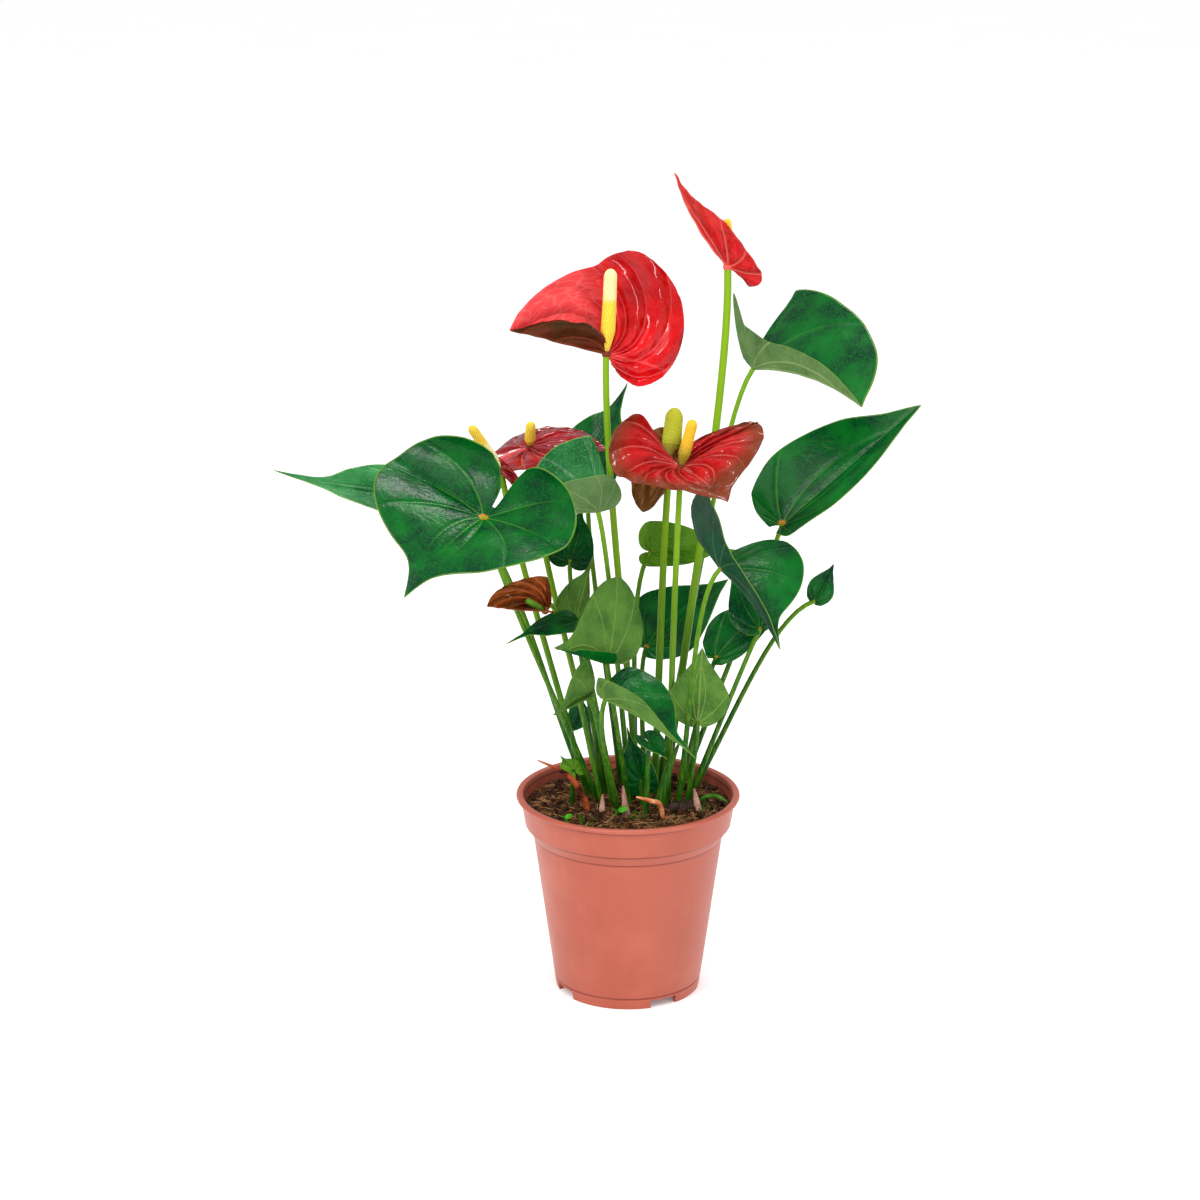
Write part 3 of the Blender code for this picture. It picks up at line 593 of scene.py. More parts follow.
# Every leaf is one grown piece: a petiole that rises from the crown in the soil, and a heart-shaped
# blade with a drip tip and two back lobes about the petiole's head. The blade is a thin sheet, spread
# from a grid, puckered between its veins and given its thickness. All lengths are in millimetres.
CROWN = (1.0, 9.0)
ROOT_DEPTH = 12.0
LEAF_THICKNESS = 0.5
PETIOLE_RADII = (1.9, 1.5, 1.35, 1.25, 1.3)
PETIOLE_STEPS = 16
LARGE_LEAF = 45.0
LARGE_LEAF_GRID = (110, 44)
SMALL_LEAF_GRID = (72, 28)
LEAF_PUCKER = 0.55
LEAF_WAVE = 0.01
LEAF_WAVES = 5
RIPPLES = 9
PILLOW_EDGE = 0.24
STEADY_TIP = 25
# powers that crowd the grid's points towards the blade's edge and its tip
POINTS_OUT = 0.85
POINTS_TO_TIP = 1.6
# share of a stem's height where its curve is steered first
LOW_BEND = 0.33
# pale yellow-green of the painted edge highlight along a leaf's margin
EDGE_HIGHLIGHT_GREEN = (0.2, 0.34, 0.03)
PETIOLE_SPOT = (0.55, 0.2, 0.02)
STREAK_GREEN = (0.2, 0.36, 0.015)

# Reach of a blade's edge from the petiole, as a share of its length, at an angle (degrees) from the tip
BLADE_OUTLINES = {
    "heart": ((0, 1.0), (2, 0.89), (5, 0.79), (10, 0.715), (20, 0.67), (40, 0.64), (66, 0.615), (94, 0.6),
              (122, 0.59), (142, 0.56), (156, 0.49), (166, 0.38), (174, 0.22)),
    "eared": ((0, 1.0), (6, 0.8), (22, 0.5), (55, 0.3), (88, 0.36), (114, 0.66), (136, 0.9),
              (154, 0.8), (168, 0.45)),
    "ovate": ((0, 1.0), (7, 0.83), (20, 0.68), (35, 0.54), (53, 0.42), (72, 0.31), (92, 0.245), (125, 0.2),
              (165, 0.15)),
    "blunt": ((0, 1.0), (3, 0.97), (8, 0.94), (18, 0.88), (34, 0.76), (60, 0.645), (94, 0.61), (130, 0.58),
              (160, 0.5), (173, 0.32)),
    "young": ((0, 1.0), (6, 0.84), (18, 0.7), (36, 0.59), (54, 0.52), (68, 0.43), (84, 0.3), (112, 0.2),
              (156, 0.15)),
}
# Angles of the veins, in radians: the first from the midrib, the next ones a step apart. They bend towards
# the tip as they run out.
FIRST_VEIN = 0.42
VEIN_STEP = 0.68
VEIN_BEND = 0.55

# attach and tip are the ends of the midrib and face is the way the upper side looks. wide scales a half's
# width, fold raises it (degrees), lobe scales its back lobe and outline names its shape: one value stands
# for both halves, and of two the first is for the half on the left of the tip. arch bends the blade down
# to its tip, nod and heel raise the back lobes. root is the petiole's place about the crown, and neck is
# how the petiole comes in below the blade. tone and under name the finishes of its two sides, and a
# turned blade shows its green underside on top. The dark tone and the dark underside are painted shade,
# the gloss tone has painted sheen and the light tone is painted light shining through the blade.
LEAVES = {
    "leaf_01": dict(
        attach=(-73.6, -58, 277), tip=(-111.2, -103.97, 248.7), face=(-.1, -.5, .85), wide=(1.28, 1.5),
        fold=(6, 10), arch=34, lobe=(1.35, 1.4), nod=80, heel=6, root=(-15, -14), neck=(5, 8, -30)),
    "leaf_02": dict(
        attach=(-95, 6, 270), tip=(-182.2, -20, 292.2), face=(0, -.55, .8), wide=.36, fold=14, arch=-22,
        lobe=.6, root=(-20, -2), neck=(34, 2, -14), tone="gloss"),
    "leaf_03": dict(
        attach=(-16.0, -23, 270.7), tip=(-67, -36, 269), face=(0, 0, 1), wide=(.72, 1.35), fold=(70, 52),
        arch=10, lobe=(.5, .3), nod=14, root=(1, -12), neck=(6, 2, -22), tone="gloss"),
    "leaf_04": dict(
        attach=(-31, 27, 230.6), tip=(-24, 44, 259), face=(0, -.8, .5), wide=.6, fold=12, lobe=.3,
        root=(-9, -1), neck=(-2, 2, -20)),
    "leaf_05": dict(
        attach=(-21, 50, 268.5), tip=(-.5, 65.94, 319), face=(-.6, -.7, .3), wide=(.8, .597), fold=12,
        lobe=.5, root=(-4, 9), neck=(-4, 0, -22)),
    "leaf_06": dict(
        attach=(65.4, 34, 333.2), tip=(119.1, -14, 324), face=(0, .1, 1), outline=("blunt", "eared"),
        wide=(1.258, .85), fold=(42, 80), arch=36, lobe=.15, nod=30, root=(14, 8), neck=(-16, 0, -22)),
    "leaf_07": dict(
        attach=(81, 15, 253.6), tip=(155.6, 45, 311.5), face=(-.45, -.75, .5), outline="ovate",
        wide=(1.0, .55), fold=(10, 30), lobe=.4, nod=10, root=(25, -1), neck=(-6, 0, -20)),
    "leaf_08": dict(
        attach=(46.2, -44, 246.2), tip=(75.7, -78, 214), face=(.35, -.2, .9), outline=("heart", "eared"),
        wide=(1.4, .9), fold=(16, 72), arch=24, lobe=(.32, .8), nod=10, root=(25, -17),
        neck=(-14, 4, -14), under="dark"),
    "leaf_09": dict(
        attach=(12, 22, 237), tip=(60, 20, 238), face=(0, -1, .1), wide=(.6, .28), fold=12, lobe=.3,
        nod=20, root=(2, -1), neck=(-14, 0, -20), tone="light"),
    "leaf_10": dict(
        attach=(98.6, 12, 212.5), tip=(109.7, 25, 229.3), face=(.3, -.8, .5), outline="young", wide=.75,
        fold=10, lobe=.5, root=(30, -3), neck=(-24, 0, -8)),
    "leaf_11": dict(
        attach=(68.6, -16, 205.7), tip=(54, 8, 232), face=(-.3, -.7, .6), outline="young", wide=(.75, 1.0),
        fold=14, lobe=.5, root=(30, -10), neck=(-6, 0, -12)),
    "leaf_12": dict(
        attach=(46.2, -4, 186), tip=(86, 8, 216), face=(-.2, -.9, .4), outline="young", wide=(.8, .42),
        fold=(14, 24), lobe=.5, nod=10, root=(25, -8), neck=(-6, 0, -14)),
    "leaf_13": dict(
        attach=(10, 40, 178), tip=(55, 62, 210.3), face=(-.2, -.75, .6), outline="young", wide=(.95, .8),
        fold=14, lobe=.5, root=(8, 8), neck=(-5, 0, -14)),
    "leaf_14": dict(
        attach=(-11.4, -46, 196.1), tip=(-38, -70, 212.5), face=(.1, .1, 1), wide=(.3, 1.9), fold=(60, 78),
        lobe=(.2, 1.5), nod=10, root=(0, -19), neck=(3, 4, -22), turned=True),
    "leaf_15": dict(
        attach=(-28.1, -8, 208), tip=(-19, 8, 238.5), face=(-.2, .8, .4), wide=(.34, .62), fold=16, lobe=.3,
        root=(-12, -4), neck=(2, 0, -16), under="green"),
    "leaf_16": dict(
        attach=(-26.3, -39, 216.5), tip=(-62.7, -60, 211.2), face=(0, -.3, .95), wide=(.4, .34),
        fold=(0, 14), arch=34, lobe=.05, root=(-7, -12), neck=(4, 0, -18)),
    "leaf_17": dict(
        attach=(-20.7, -44, 177.6), tip=(-38.8, -58, 172.5), face=(.9, .1, 1), wide=(.3, 1.8),
        fold=(50, 76), lobe=(.3, .5), nod=20, root=(-8, -20), neck=(5, 0, -10), turned=True),
    "leaf_18": dict(
        attach=(-12.4, -58, 180.6), tip=(33.4, -86, 159.1), face=(.1, -.1, 1), wide=(.8, .5),
        fold=(24, 64), arch=20, lobe=(.25, .2), nod=40, root=(-6, -26), neck=(-6, 0, -16), under="green"),
    "leaf_19": dict(
        attach=(36.3, -19, 155.2), tip=(38.5, -15.5, 195.3), face=(0, 1, .1), outline="young", wide=1.0,
        fold=16, lobe=.5, root=(30, -17), neck=(0, 0, -14), under="green"),
    "leaf_20": dict(
        attach=(-22.5, 8, 154.1), tip=(-33.2, 4, 138.6), face=(-.6, -.6, .4), wide=.8, fold=10, lobe=.2,
        root=(-16, .5), neck=(1, 0, -10)),
    "leaf_22": dict(
        attach=(10.5, -30, 148), tip=(20, -42, 143), face=(0, -.2, .9), wide=.8, fold=20, lobe=1.0,
        root=(8, -33), neck=(0, 0, -10)),
    "leaf_23": dict(
        attach=(7, -12, 120), tip=(-1, -14, 151), face=(-.2, -.9, .2), wide=.5, fold=14, lobe=.5,
        root=(7, -21), neck=(0, 0, -6)),
    "leaf_24": dict(
        attach=(-29.4, -10, 125.4), tip=(-36.3, -3, 131.4), face=(0, -.4, .9), wide=.9, fold=6, lobe=1.0,
        root=(-31, -12), neck=(0, 0, -6), tone="light"),
}


def ease_along(start, end, leave, arrive, t):
    """A smooth way from start to end, which leaves and arrives with the given slopes, at t from 0 to 1."""
    s = 1 - t
    return start * (1 + 2 * t) * s * s + leave * t * s * s + end * t * t * (3 - 2 * t) - arrive * t * t * s


def reach_at(outline, degrees):
    """Reach of a blade's edge at an angle from its tip, on a smooth line through the outline's points."""
    angles = [corner[0] for corner in outline]
    i = min(max(bisect.bisect_right(angles, degrees), 1), len(outline) - 1)
    (a0, r0), (a1, r1) = outline[i - 1], outline[i]
    before = outline[max(i - 2, 0)]
    after = outline[min(i + 1, len(outline) - 1)]
    span = a1 - a0
    slope0 = (r1 - before[1]) / (a1 - before[0]) * span
    slope1 = (after[1] - r0) / (after[0] - a0) * span
    return ease_along(r0, r1, slope0, slope1, min(1.0, max(0.0, (degrees - a0) / span)))


def arc(length, start, turn):
    """Run and rise of a line that starts at an angle and turns steadily along its length."""
    if abs(turn) < 1e-6:
        return length * math.cos(start), length * math.sin(start)
    bend = turn * length
    run = (math.sin(start + bend) - math.sin(start)) / turn
    rise = (math.cos(start) - math.cos(start + bend)) / turn
    return run, rise


def half(row, key, side, usual=0.0):
    """A row's value for one half of the blade."""
    value = row.get(key, usual)
    return value[side] if isinstance(value, tuple) else value


def bent(row, side, along, across):
    """A point of the flat blade, bent as the blade is, and the tilt of the blade there."""
    if along >= 0:
        turn = -math.radians(row.get("arch", 0))
        run, rise = arc(along, 0.0, turn)
        tilt = turn * along
    else:
        back = -along * half(row, "lobe", side)
        heel = math.radians(row.get("heel", 0))
        turn = 2 * math.radians(row.get("nod", 0))
        run, rise = arc(back, heel, turn)
        run = -run
        tilt = -heel - turn * back
    start = math.radians(half(row, "fold", side))
    out, lift = arc(across * half(row, "wide", side), start, 2 * math.radians(half(row, "curl", side)))
    sign = 1 if side == 0 else -1
    return Vector((run - math.sin(tilt) * lift, sign * out, rise + math.cos(tilt) * lift))


def vein_distance(fan, reach, side):
    """How far a point of the flat blade lies from the nearest main vein, or from the midrib."""
    place = (fan - FIRST_VEIN) / VEIN_STEP
    off = abs(place - round(place)) * VEIN_STEP * reach if place > -0.5 else 1.0
    return min(off, abs(side))


def blade_frame(row):
    """The blade's scale, and the map from the bent blade to its place on the plant."""
    attach = Vector(row["attach"])
    axis = Vector(row["tip"]) - attach
    local_tip = bent(row, 0, 1.0, 0.0)
    scale = axis.length / local_tip.length
    axis.normalize()
    face = Vector(row["face"])
    face = (face - axis * face.dot(axis)).normalized()
    across = face.cross(axis)
    tip_run = local_tip.x / local_tip.length
    tip_rise = local_tip.z / local_tip.length

    def place(point):
        forward = point.x * tip_run + point.z * tip_rise
        upward = point.z * tip_run - point.x * tip_rise
        return attach + (axis * forward + across * point.y + face * upward) * scale
    return scale, place


def keep_values(obj, name, values):
    """Each point of the mesh keeps a number, or three in a tuple, for its material to read."""
    three = isinstance(values[0], tuple)
    kept = obj.data.attributes.new(name, 'FLOAT_VECTOR' if three else 'FLOAT', 'POINT')
    for point, value in zip(kept.data, values):
        setattr(point, "vector" if three else "value", value)


def midrib_length(row):
    return (Vector(row["tip"]) - Vector(row["attach"])).length


def blade_sheet(name, row, outlines, grid, pucker, wave, waves):
    """The blade as a sheet: its grid runs round the edge one way and out from the petiole the other."""
    scale, to_plant = blade_frame(row)
    veins = []
    matt_and_painted_sheen_levels = []
    shift = sum(ord(letter) for letter in name) * 0.7

    def place(u, v):
        share = v ** POINTS_OUT
        side = 0 if u < 0.5 else 1
        degrees = outlines[side][-1][0] * abs(1 - 2 * u) ** POINTS_TO_TIP
        reach = reach_at(outlines[side], degrees) * share
        x = reach * math.cos(math.radians(degrees))
        y = reach * math.sin(math.radians(degrees))
        point = bent(row, side, x, y)
        fan = (math.radians(degrees) + row.get("bend", VEIN_BEND) * reach) * row.get("close", 1.0)
        pillow = min(1.0, vein_distance(fan, reach, y) / (PILLOW_EDGE * reach + 0.01)) ** 0.6
        # the blade swells between its veins, most of all halfway out, and its edge waves a little
        swell = pucker * pillow * math.sin(math.pi * min(1.0, share * 1.02)) / scale
        spot = Vector((x * RIPPLES, y * RIPPLES * (1 if side else -1), shift))
        ripple = noise.noise(spot) * pucker * 0.8 / scale * share
        edge = wave * share ** 3 * math.sin(math.radians(degrees) * waves + shift)
        edge *= min(1.0, degrees / STEADY_TIP)
        point.z += swell + ripple + edge
        veins.append((fan, reach, y))
        # each point keeps how far it lies in the matt half that its material paints pink as sheen
        if "matt_and_painted_sheen" in row:
            matt_and_painted_sheen_side, full, none = row["matt_and_painted_sheen"]
            level = min(1.0, max(0.0, (degrees - none) / (full - none)))
            matt_and_painted_sheen_levels.append(level if side == matt_and_painted_sheen_side else 0.0)
        return to_plant(point)

    obj = spread_grid(name, *grid, place)
    # each point keeps its vein's angle, its reach from the petiole and its way from the midrib
    keep_values(obj, "veins", veins)
    if matt_and_painted_sheen_levels:
        keep_values(obj, "matt_and_painted_sheen", matt_and_painted_sheen_levels)
    return obj


def thicken(obj, thickness, *finishes):
    """Merges the corner at the petiole and gives the sheet its thickness, with another finish below."""
    dress(obj, *finishes)
    edit_all(obj)
    bpy.ops.mesh.remove_doubles(threshold=0.00001)
    bpy.ops.object.mode_set(mode='OBJECT')
    solidify = obj.modifiers.new("thickness", 'SOLIDIFY')
    solidify.thickness = thickness * MM
    solidify.offset = -1.0
    solidify.material_offset = 1
    solidify.material_offset_rim = 0
    apply_all(obj)
    bpy.ops.object.shade_smooth()


def rise_from_soil(root, head, neck, steps, over=0.0):
    """Points of a stem from below the soil to its head, on a cubic curve."""
    foot = Vector((CROWN[0] + root[0], CROWN[1] + root[1], SOIL_LEVEL))
    head = Vector(head)
    first = foot + (head - foot) * LOW_BEND
    second = head + Vector(neck)
    points = [foot - Vector((0, 0, ROOT_DEPTH)), foot - Vector((0, 0, ROOT_DEPTH / 2))]
    for i in range(steps + 1):
        t = i / steps
        s = 1 - t
        points.append(foot * s ** 3 + first * 3 * s * s * t + second * 3 * s * t * t + head * t ** 3)
    points.append(head - Vector(neck).normalized() * over)
    return points


def spread_values(values, count):
    """A short row of values, spread evenly over a count of points."""
    spread = []
    for k in range(count):
        at = k / (count - 1) * (len(values) - 1)
        i = min(int(at), len(values) - 2)
        spread.append(values[i] + (values[i + 1] - values[i]) * (at - i))
    return spread


def read_kept(tree, name):
    """What the mesh keeps at its points under this name, as a number and as a vector."""
    node = tree.nodes.new("ShaderNodeAttribute")
    node.attribute_name = name
    return node.outputs["Fac"], node.outputs["Vector"]


def own_coordinates(tree):
    """The two coordinates of a piece's own grid."""
    return split_up(tree.nodes.new("ShaderNodeTexCoord").outputs["UV"])


def blade_fields(tree):
    """The fan of a blade's veins, the reach, and the gap to the nearest vein, also in steps of the fan."""
    fan, reach, across = split_up(read_kept(tree, "veins")[1])
    side = math_node('ABSOLUTE', across)
    turn = math_node('DIVIDE', math_node('SUBTRACT', fan, FIRST_VEIN), VEIN_STEP)
    off = math_node('ABSOLUTE', math_node('SUBTRACT', turn, math_node('ROUND', turn)))
    # nothing runs between the midrib and the first vein
    gap = math_node('ADD', times(times(off, VEIN_STEP), reach), math_node('LESS_THAN', turn, -0.5))
    return fan, reach, math_node('MINIMUM', gap, side), off


def net_of(fan, reach, side_cells, out_cells):
    """Cells between the veins, drawn out along them: 0 on the net's threads and 1 inside the cells."""
    join = node_after(fan, "CombineXYZ")
    put(join.inputs[0], times(fan, side_cells))
    put(join.inputs[1], times(reach, out_cells))
    cells = node_after(fan, "TexVoronoi")
    cells.feature = 'DISTANCE_TO_EDGE'
    put(cells.inputs["Vector"], join.outputs[0])
    cells.inputs["Scale"].default_value = 1.0
    return cells.outputs["Distance"], join.outputs[0]


def leaf_upper(name, deep, light, vein, roughness, coat):
    """The glossy upper side: green in two tones, a fine net, and a pale thin line along each vein."""
    mat, tree, shader = new_material(name, roughness, coat=coat, coat_roughness=0.24, specular=0.05)
    fan, reach, gap = blade_fields(tree)[:3]
    place = place_of(tree)
    patches = cloud(place, 55.0, 4.0, 0.6)
    speckle = cloud(place, 900.0, 2.0)
    base = lay_over(deep, light, patches, 0.3, 0.72)
    base = lay_over(base, light, speckle, 0.45, 0.8)
    cells, weave = net_of(fan, reach, 7.0, 22.0)
    base = lay_over(base, light, cells, 0.1, 0.0, 0.12)
    line = step_between(gap, 0.008, 0.001)
    fade = step_between(reach, 0.65, 0.1, 0.6)
    base = blend_colour(times(line, fade), base, vein)
    # a thin pale line, a painted edge highlight, runs along the edge, where the second of the blade's own
    # coordinates ends
    base = lay_over(base, EDGE_HIGHLIGHT_GREEN, own_coordinates(tree)[1], 0.982, 0.992, 0.5)
    base = lay_over(base, PETIOLE_SPOT, reach, 0.035, 0.018)
    put(shader.inputs["Base Color"], base)
    swell = relief(step_between(gap, 0.0, 0.03), 0.0005, 0.55)
    fine = relief(step_between(cells, 0.0, 0.25), 0.0003, 0.18, swell)
    soft = cloud(weave, 0.8, 1.0)
    raise_surface(shader, relief(soft, 0.0006, 0.22, fine))
    rough = math_node('MULTIPLY_ADD', patches, 0.18, roughness - 0.09)
    put(shader.inputs["Roughness"], rough)
    return mat


def leaf_under(name, base_colour, pale, vein):
    """The matt underside: grey-green, with its veins raised and paler."""
    mat, tree, shader = new_material(name, 0.55, specular=0.2)
    fan, reach, gap = blade_fields(tree)[:3]
    patches = cloud(place_of(tree), 70.0, 4.0, 0.6)
    base = lay_over(base_colour, pale, patches, 0.3, 0.7)
    cells = net_of(fan, reach, 8.0, 24.0)[0]
    base = lay_over(base, vein, cells, 0.12, 0.0, 0.14)
    line = step_between(gap, 0.013, 0.003)
    base = blend_colour(times(line, 0.65), base, vein)
    put(shader.inputs["Base Color"], base)
    swell = relief(line, 0.0006, 0.6)
    put(shader.inputs["Normal"], relief(step_between(cells, 0.2, 0.0), 0.0003, 0.4, swell))
    return mat


def stalk_green(name, low, high, foot_z, head_z):
    """Petioles and bloom stems: darker low down, yellow-green near their heads, finely streaked."""
    mat, tree, shader = new_material(name, 0.38, coat=0.05, specular=0.12)
    streaks = cloud(place_of(tree, (1, 1, 0.08)), 700.0, 3.0)
    base = lay_over(low, high, split_up(place_of(tree))[2], foot_z, head_z)
    base = lay_over(base, STREAK_GREEN, streaks, 0.4, 0.7, 0.35)
    put(shader.inputs["Base Color"], base)
    raise_surface(shader, relief(streaks, 0.0002, 0.4))
    return mat


UPPER_LOOKS = {
    "deep": ((0.0, 0.026, 0.01), (0.0, 0.12, 0.01), (0.05, 0.21, 0.01), 0.36, 0.2),
    # dark: the upper green darkened, painted shade for a part that stands in shade
    "dark": ((0.002, 0.026, 0.012), (0.006, 0.062, 0.026), (0.05, 0.14, 0.04), 0.34, 0.3),
    # gloss: a stronger coat, and paler bluish patches that are painted sheen
    "gloss": ((0.0, 0.075, 0.012), (0.035, 0.23, 0.06), (0.1, 0.3, 0.06), 0.32, 0.4),
    # light: a paler yellow-green, painted light shining through a blade lit from behind
    "light": ((0.045, 0.17, 0.006), (0.11, 0.27, 0.012), (0.24, 0.4, 0.03), 0.38, 0.12),
}
uppers = {key: leaf_upper("leaf_upper_" + key, *look) for key, look in UPPER_LOOKS.items()}
unders = {
    "grey": leaf_under("leaf_under", (0.06, 0.14, 0.036), (0.11, 0.21, 0.062), (0.22, 0.32, 0.1)),
    "green": leaf_under("leaf_under_low", (0.032, 0.11, 0.01), (0.085, 0.205, 0.022), (0.18, 0.32, 0.05)),
    # an underside in shade, as on leaf_08's standing half, takes the dark upper green: painted shade
    "dark": uppers["dark"],
}
petiole_green = stalk_green("petiole_green", (0.012, 0.095, 0.004), (0.15, 0.32, 0.006), 0.13, 0.3)


def make_leaf(node, row):
    """The blade with its petiole, as one piece."""
    outlines = [BLADE_OUTLINES[half(row, "outline", side, "heart")] for side in (0, 1)]
    grid = LARGE_LEAF_GRID if midrib_length(row) > LARGE_LEAF else SMALL_LEAF_GRID
    blade = blade_sheet(node + "_blade", row, outlines, grid, LEAF_PUCKER, LEAF_WAVE, LEAF_WAVES)
    upper = uppers[row.get("tone", "deep")]
    sides = (unders["green"], upper) if row.get("turned") else (upper, unders[row.get("under", "grey")])
    thicken(blade, LEAF_THICKNESS, *sides, petiole_green)
    points = rise_from_soil(row["root"], row["attach"], row["neck"], PETIOLE_STEPS, over=0.35)
    petiole = thread(node + "_petiole", points, spread_values(PETIOLE_RADII, len(points)), ROUND_ROD)
    dress(petiole, petiole_green)
    leaf = join_up((blade, petiole), node + "_fine")
    add_to_part(leaf, "leaf_green", node)


for node, row in LEAVES.items():
    make_leaf(node, row)

# Each bloom is a green stem, a waxy red spathe held in a small collar, and a spadix: a finger covered
# in florets. Two young blooms are still copper brown. A spathe is spread from a grid as a blade is, with
# its ribs raised along the veins that fan out from the spadix.
SPATHE_THICKNESS = 0.6
COLLAR_HEIGHT = 2.4
FLORETS_ROUND = 12
FLORET_PITCH = 1.5
FLORET_POINTS = 8
FEWEST_ROWS = 40
FLORET_HEIGHT = 0.4
FINGER_FOOT = 0.24
FINGER_TAPER = 0.16
BLOOM_STEM_STEPS = 20
STEM_TAPER = (1.08, 0.94)
LARGE_SPATHE = 40.0
LARGE_SPATHE_GRID = (170, 70)
SMALL_SPATHE_GRID = (110, 44)
SPATHE_SWELL = 1.8
SPATHE_WAVE = 0.012
SPATHE_WAVES = 4
NET_PINK = (0.8, 0.24, 0.22)
FLORET_CREASE = (0.5, 0.26, 0.01)
SPATHE_OUTLINES = {
    "spathe": ((0, 1.0), (3, 0.92), (8, 0.82), (20, 0.735), (42, 0.69), (66, 0.675), (92, 0.67),
               (120, 0.66), (146, 0.6), (162, 0.48), (172, 0.3)),
    "wrapped": ((0, 1.0), (16, 0.95), (40, 0.88), (58, 0.85), (69, 0.86), (76, 0.94), (84, 1.02),
                (98, 1.06), (128, 0.95), (162, 0.77), (190, 0.6), (214, 0.42), (228, 0.2)),
    "narrow": ((0, 1.0), (6, 0.88), (20, 0.7), (36, 0.49), (56, 0.29), (74, 0.12), (92, 0.04)),
    "long": ((0, 1.0), (5, 0.88), (14, 0.76), (28, 0.68), (50, 0.6), (80, 0.53), (110, 0.5), (140, 0.48),
             (166, 0.36)),
    "hooded": ((0, 1.0), (5, 0.98), (12, 0.95), (24, 0.88), (42, 0.78), (64, 0.71), (92, 0.67), (120, 0.66),
               (148, 0.59), (170, 0.34)),
}


def spathe_face(name, deep, bright, rib_colour, edge_colour, roughness=0.26, coat=0.5, edge_share=0.35,
                pink=1.0):
    """The waxy front of a spathe: glossy, ribbed along its veins, with a raised net between the ribs."""
    mat, tree, shader = new_material(name, roughness, coat=coat, coat_roughness=0.08, specular=0.03)
    fan, reach, gap, off = blade_fields(tree)
    patches = cloud(place_of(tree), 60.0, 4.0, 0.6)
    base = lay_over(deep, bright, patches, 0.3, 0.7)
    cells, weave = net_of(fan, reach, 4.5, 13.0)
    line = step_between(gap, 0.016, 0.004)
    base = blend_colour(times(line, 0.6), base, rib_colour)
    base = lay_over(base, edge_colour, reach, 0.4, 0.66, edge_share)
    # part of a large spathe is matt, and is painted pink there as the sheen it shows at a grazing angle
    matt_and_painted_sheen = read_kept(tree, "matt_and_painted_sheen")[0]
    base = blend_colour(times(matt_and_painted_sheen, 0.75 * pink), base, rib_colour)
    net_share = math_node('MULTIPLY_ADD', matt_and_painted_sheen, 0.2 * pink, 0.03 * pink)
    base = blend_colour(times(step_between(cells, 0.1, 0.0), net_share), base, NET_PINK)
    put(shader.inputs["Base Color"], base)
    put(shader.inputs["Coat Weight"], math_node('MULTIPLY_ADD', matt_and_painted_sheen, -0.8 * coat, coat))
    # between two ribs the wax swells into a round strip, wrinkled across
    strip = math_node('SINE', times(off, math.pi))
    ribs = relief(times(strip, step_between(reach, 0.0, 0.25)), 0.0026)
    soft = cloud(weave, 0.8, 0.0)
    raise_surface(shader, relief(soft, 0.0012, 0.45, ribs))
    return mat


def floret_skin(name, low, high, dot, foot, head):
    """Tiny florets, each with a paler point, that change colour between two shares of the finger."""
    mat, tree, shader = new_material(name, 0.6, specular=0.2)
    blotch = math_node('MULTIPLY_ADD', cloud(place_of(tree), 160.0, 2.0), 0.3, -0.15)
    share = math_node('ADD', own_coordinates(tree)[1], blotch)
    base = lay_over(low, high, share, foot, head)
    knob = read_kept(tree, "floret")[0]
    base = lay_over(base, dot, knob, 0.5, 0.9)
    base = lay_over(base, FLORET_CREASE, knob, 0.4, 0.0, 0.5)
    put(shader.inputs["Base Color"], base)
    shader.inputs["Subsurface Weight"].default_value = 0.15
    shader.inputs["Subsurface Radius"].default_value = (0.002, 0.0012, 0.0004)
    return mat


SPATHE_LOOKS = {
    "red_face": ((0.36, 0.0, 0.002), (0.68, 0.001, 0.004), (0.8, 0.07, 0.075), (0.36, 0.001, 0.003)),
    "dark_face": ((0.14, 0.0, 0.003), (0.34, 0.002, 0.006), (0.7, 0.1, 0.11), (0.14, 0.004, 0.004)),
    "tanned_face": ((0.34, 0.002, 0.004), (0.5, 0.01, 0.01), (0.66, 0.13, 0.1), (0.13, 0.035, 0.012),
                    0.3, 0.32, 0.85),
    # red_back: a dark brown-green, partly the back's own duller colour and partly painted shade under the
    # fold, with its edge darkened as painted shade too
    "red_back": ((0.034, 0.018, 0.004), (0.13, 0.018, 0.008), (0.24, 0.045, 0.018), (0.05, 0.026, 0.005),
                 0.42, 0.1, 0.35, 0.2),
    "bright_back": ((0.46, 0.006, 0.008), (0.62, 0.016, 0.018), (0.8, 0.16, 0.12), (0.5, 0.04, 0.02),
                    0.35, 0.25),
    "copper_face": ((0.26, 0.036, 0.006), (0.54, 0.1, 0.014), (0.7, 0.24, 0.08), (0.22, 0.08, 0.01), 0.28),
    "copper_back": ((0.14, 0.04, 0.008), (0.28, 0.08, 0.016), (0.34, 0.14, 0.04), (0.1, 0.07, 0.012),
                    0.4, 0.2),
}
spathe_faces = {key: spathe_face("spathe_" + key, *look) for key, look in SPATHE_LOOKS.items()}
